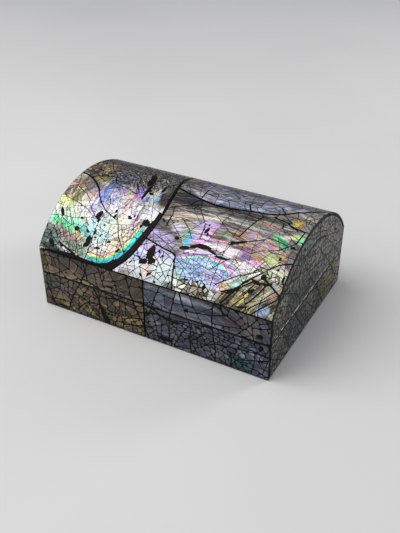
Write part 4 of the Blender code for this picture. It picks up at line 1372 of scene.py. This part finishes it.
FRONT_SIZE = by_place(4.4, ((96, 33, 30, 9, 11.0), (55, 34, 18, 7, 9.0), (135, 32, 16, 8, 6.0),
                            (22, 33, 24, 8, 6.0), (8, 14, 9, 9, 4.6)))
FRONT_CRACKS = (
    (((31, 43), (32.4, 36), (33.6, 28)), 0.8), (((38, 23), (40.6, 17), (43, 9), (46, -2)), 1.2),
    (((94.6, 43), (96.6, 35), (98.8, 27)), 1.0), (((102.6, 18), (102, 10), (103, -2)), 0.8),
    (((70, 24.6), (80, 22), (87, 19), (98, 19.4), (104, 18.4)), 0.9),
    (((99, 29), (108, 30.4), (116, 32), (124, 34.8)), 0.6), (((120, 43), (121.4, 37), (123.4, 34)), 0.8),
    (((103, 10), (108, 14.4), (112, 19)), 0.7), (((111, 9.6), (118, 13), (126, 14.4), (148, 16.8)), 0.7),
    (((131, 7.6), (138, 9.8), (149, 13.6)), 0.7), (((127, 11), (127.8, 5), (126, -2)), 0.8),
    (((88.6, 16), (88.6, 4)), 0.7), (((57, -2), (59, 9), (73, 13.6)), 0.8),
    (((58, 4.6), (66, 7), (74, 9.4)), 0.7), (((48, 20), (55, 21), (68, 21)), 0.7),
    (((0, 10), (5, 12.4), (11, 15.8)), 0.6), (((24, 3), (31, 10.6), (40, 13)), 0.7),
)
END_CRACKS = (
    (((-4, 46.5), (8, 47.6), (20, 51), (30, 56.6), (36, 60)), 1.5),
    (((38, 57), (46, 55.8), (58, 57), (66, 55.6), (76, 51.4)), 1.2),
    (((62.4, 71), (63, 62), (64.4, 55)), 1.2),
    (((6, 54), (22, 44), (34, 36), (42, 24)), 0.6), (((4, 36), (14, 24), (26, 8), (30, 0)), 0.5),
    (((20, 40), (32, 24), (46, 8), (52, 0)), 0.5), (((40, 54), (52, 38), (68, 20), (82, 0)), 0.6),
    (((62, 52), (74, 40), (88, 26), (104, 6)), 0.6), (((76, 50), (88, 40), (106, 22)), 0.5),
)
front = face_pieces(LENGTH, RIDGE, FRONT_SIZE, 5, FRONT_CRACKS)
back = face_pieces(LENGTH, RIDGE, by_place(7.0, ()), 6)
ends = {
    "right": face_pieces(DEPTH, HEIGHT, by_place(4.2, ()), 7, END_CRACKS),
    "left": face_pieces(DEPTH, HEIGHT, by_place(6.5, ()), 8),
}
FACE_SEED = 30
half_depth = 1000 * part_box("base_right_shell")[1][1]
end_low, end_high = DEPTH / 2 - half_depth, DEPTH / 2 + half_depth

BROWN = (front, on_front, BROWN_SHELL, BROWN_HOLES, "brown_shell")
BLUE = (front, on_front, BLUE_SHELL, BLUE_HOLES, "blue_shell")
BACK = (back, on_back, PLAIN_SHELL, (), "grey_shell")
sheets = [
    ("base_front_brown", block(0, 0.4, BROWN_END, BASE_TOP - SEAM_RESIN), BROWN),
    ("lid_front_brown", block(0, LID_BOTTOM, BROWN_END, RIDGE_EDGE), BROWN),
    ("base_front_blue", block(BLUE_START, 0.4, LENGTH, BASE_TOP - SEAM_RESIN), BLUE),
    ("lid_front_blue", block(BLUE_START, LID_BOTTOM, LENGTH, RIDGE_EDGE), BLUE),
    ("base_back", block(0, 0.4, LENGTH, BASE_TOP - SEAM_RESIN), BACK),
    ("lid_back", block(0, LID_BOTTOM, LENGTH, RIDGE_EDGE), BACK),
]
for word, put, finish, holes in (("right", on_right, RIGHT_END_SHELL, END_HOLES),
                                 ("left", on_left, PLAIN_SHELL, ())):
    end = (ends[word], put, finish, holes, "grey_shell")
    sheets.append((f"base_{word}", block(end_low, 0.4, end_high, BASE_TOP - SEAM_RESIN), end))
    sheets.append((f"lid_{word}", arch_outline(LID_BOTTOM), end))
for number, (name, outline, (found, put, finish, holes, slot)) in enumerate(sheets):
    tiles = lay_tiles(name + "_tiles", share_of(found, outline), put, (finish, RESIN),
                      FACE_SEED + number, holes)
    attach(tiles, "root")

# %% [markdown]
# ## The photographer's table
# The box stands on a pale table under soft light. A large soft lamp hangs over it, a little to
# the left, and lies in the dome as a broad sheen. A smaller one behind it, at the right, draws
# the edges. The camera looks down on the front right corner with a longish lens.

# %% Table and lamps
def pale_table():
    finish = Finish("pale table")
    place = finish.node("TexCoord").outputs["Object"]
    cloud = finish.grain(place, 0.25, 3.0)
    finish.feed(finish.shader.inputs["Base Color"],
                finish.mix(finish.step(cloud, 0.3, 0.7), seen(226, 225, 223), seen(231, 230, 228)))
    finish.shader.inputs["Roughness"].default_value = 0.75
    return finish.material


bpy.ops.mesh.primitive_plane_add(size=6, location=(0, 0, 0))
table = bpy.context.active_object
table.name = "table"
table.data.materials.append(pale_table())


def soft_lamp(name, at, size, power, aim=(0, 0, 0.04)):
    light = bpy.data.lights.new(name, "AREA")
    light.shape = "RECTANGLE"
    light.size, light.size_y = size
    light.energy = power
    lamp = bpy.data.objects.new(name, light)
    lamp.location = at
    lamp.rotation_euler = (Vector(aim) - Vector(at)).to_track_quat("-Z", "Y").to_euler()
    bpy.context.scene.collection.objects.link(lamp)
    return lamp


soft_lamp("overhead lamp", (-0.50, -0.38, 0.98), (1.0, 1.4), 11)
soft_lamp("edge lamp", (0.60, 0.80, 0.46), (0.35, 0.35), 2.6)
world = bpy.data.worlds.new("studio")
bpy.context.scene.world = world
world.use_nodes = True
world.node_tree.nodes["Background"].inputs["Color"].default_value = (0.9, 0.92, 1.0, 1.0)
world.node_tree.nodes["Background"].inputs["Strength"].default_value = 0.32

# %% The camera
TURN = math.radians(28.608)
RISE = math.radians(33.229)
camera = bpy.data.objects.new("camera", bpy.data.cameras.new("camera"))
camera.data.sensor_width = 36
camera.data.lens = 49.37
camera.location = (0.18432, -0.33196, 0.26752)
toward = Vector((-math.sin(TURN) * math.cos(RISE), math.cos(TURN) * math.cos(RISE), -math.sin(RISE)))
camera.rotation_euler = toward.to_track_quat("-Z", "Y").to_euler()
bpy.context.scene.collection.objects.link(camera)
bpy.context.scene.camera = camera
bpy.context.scene.view_settings.view_transform = "Standard"
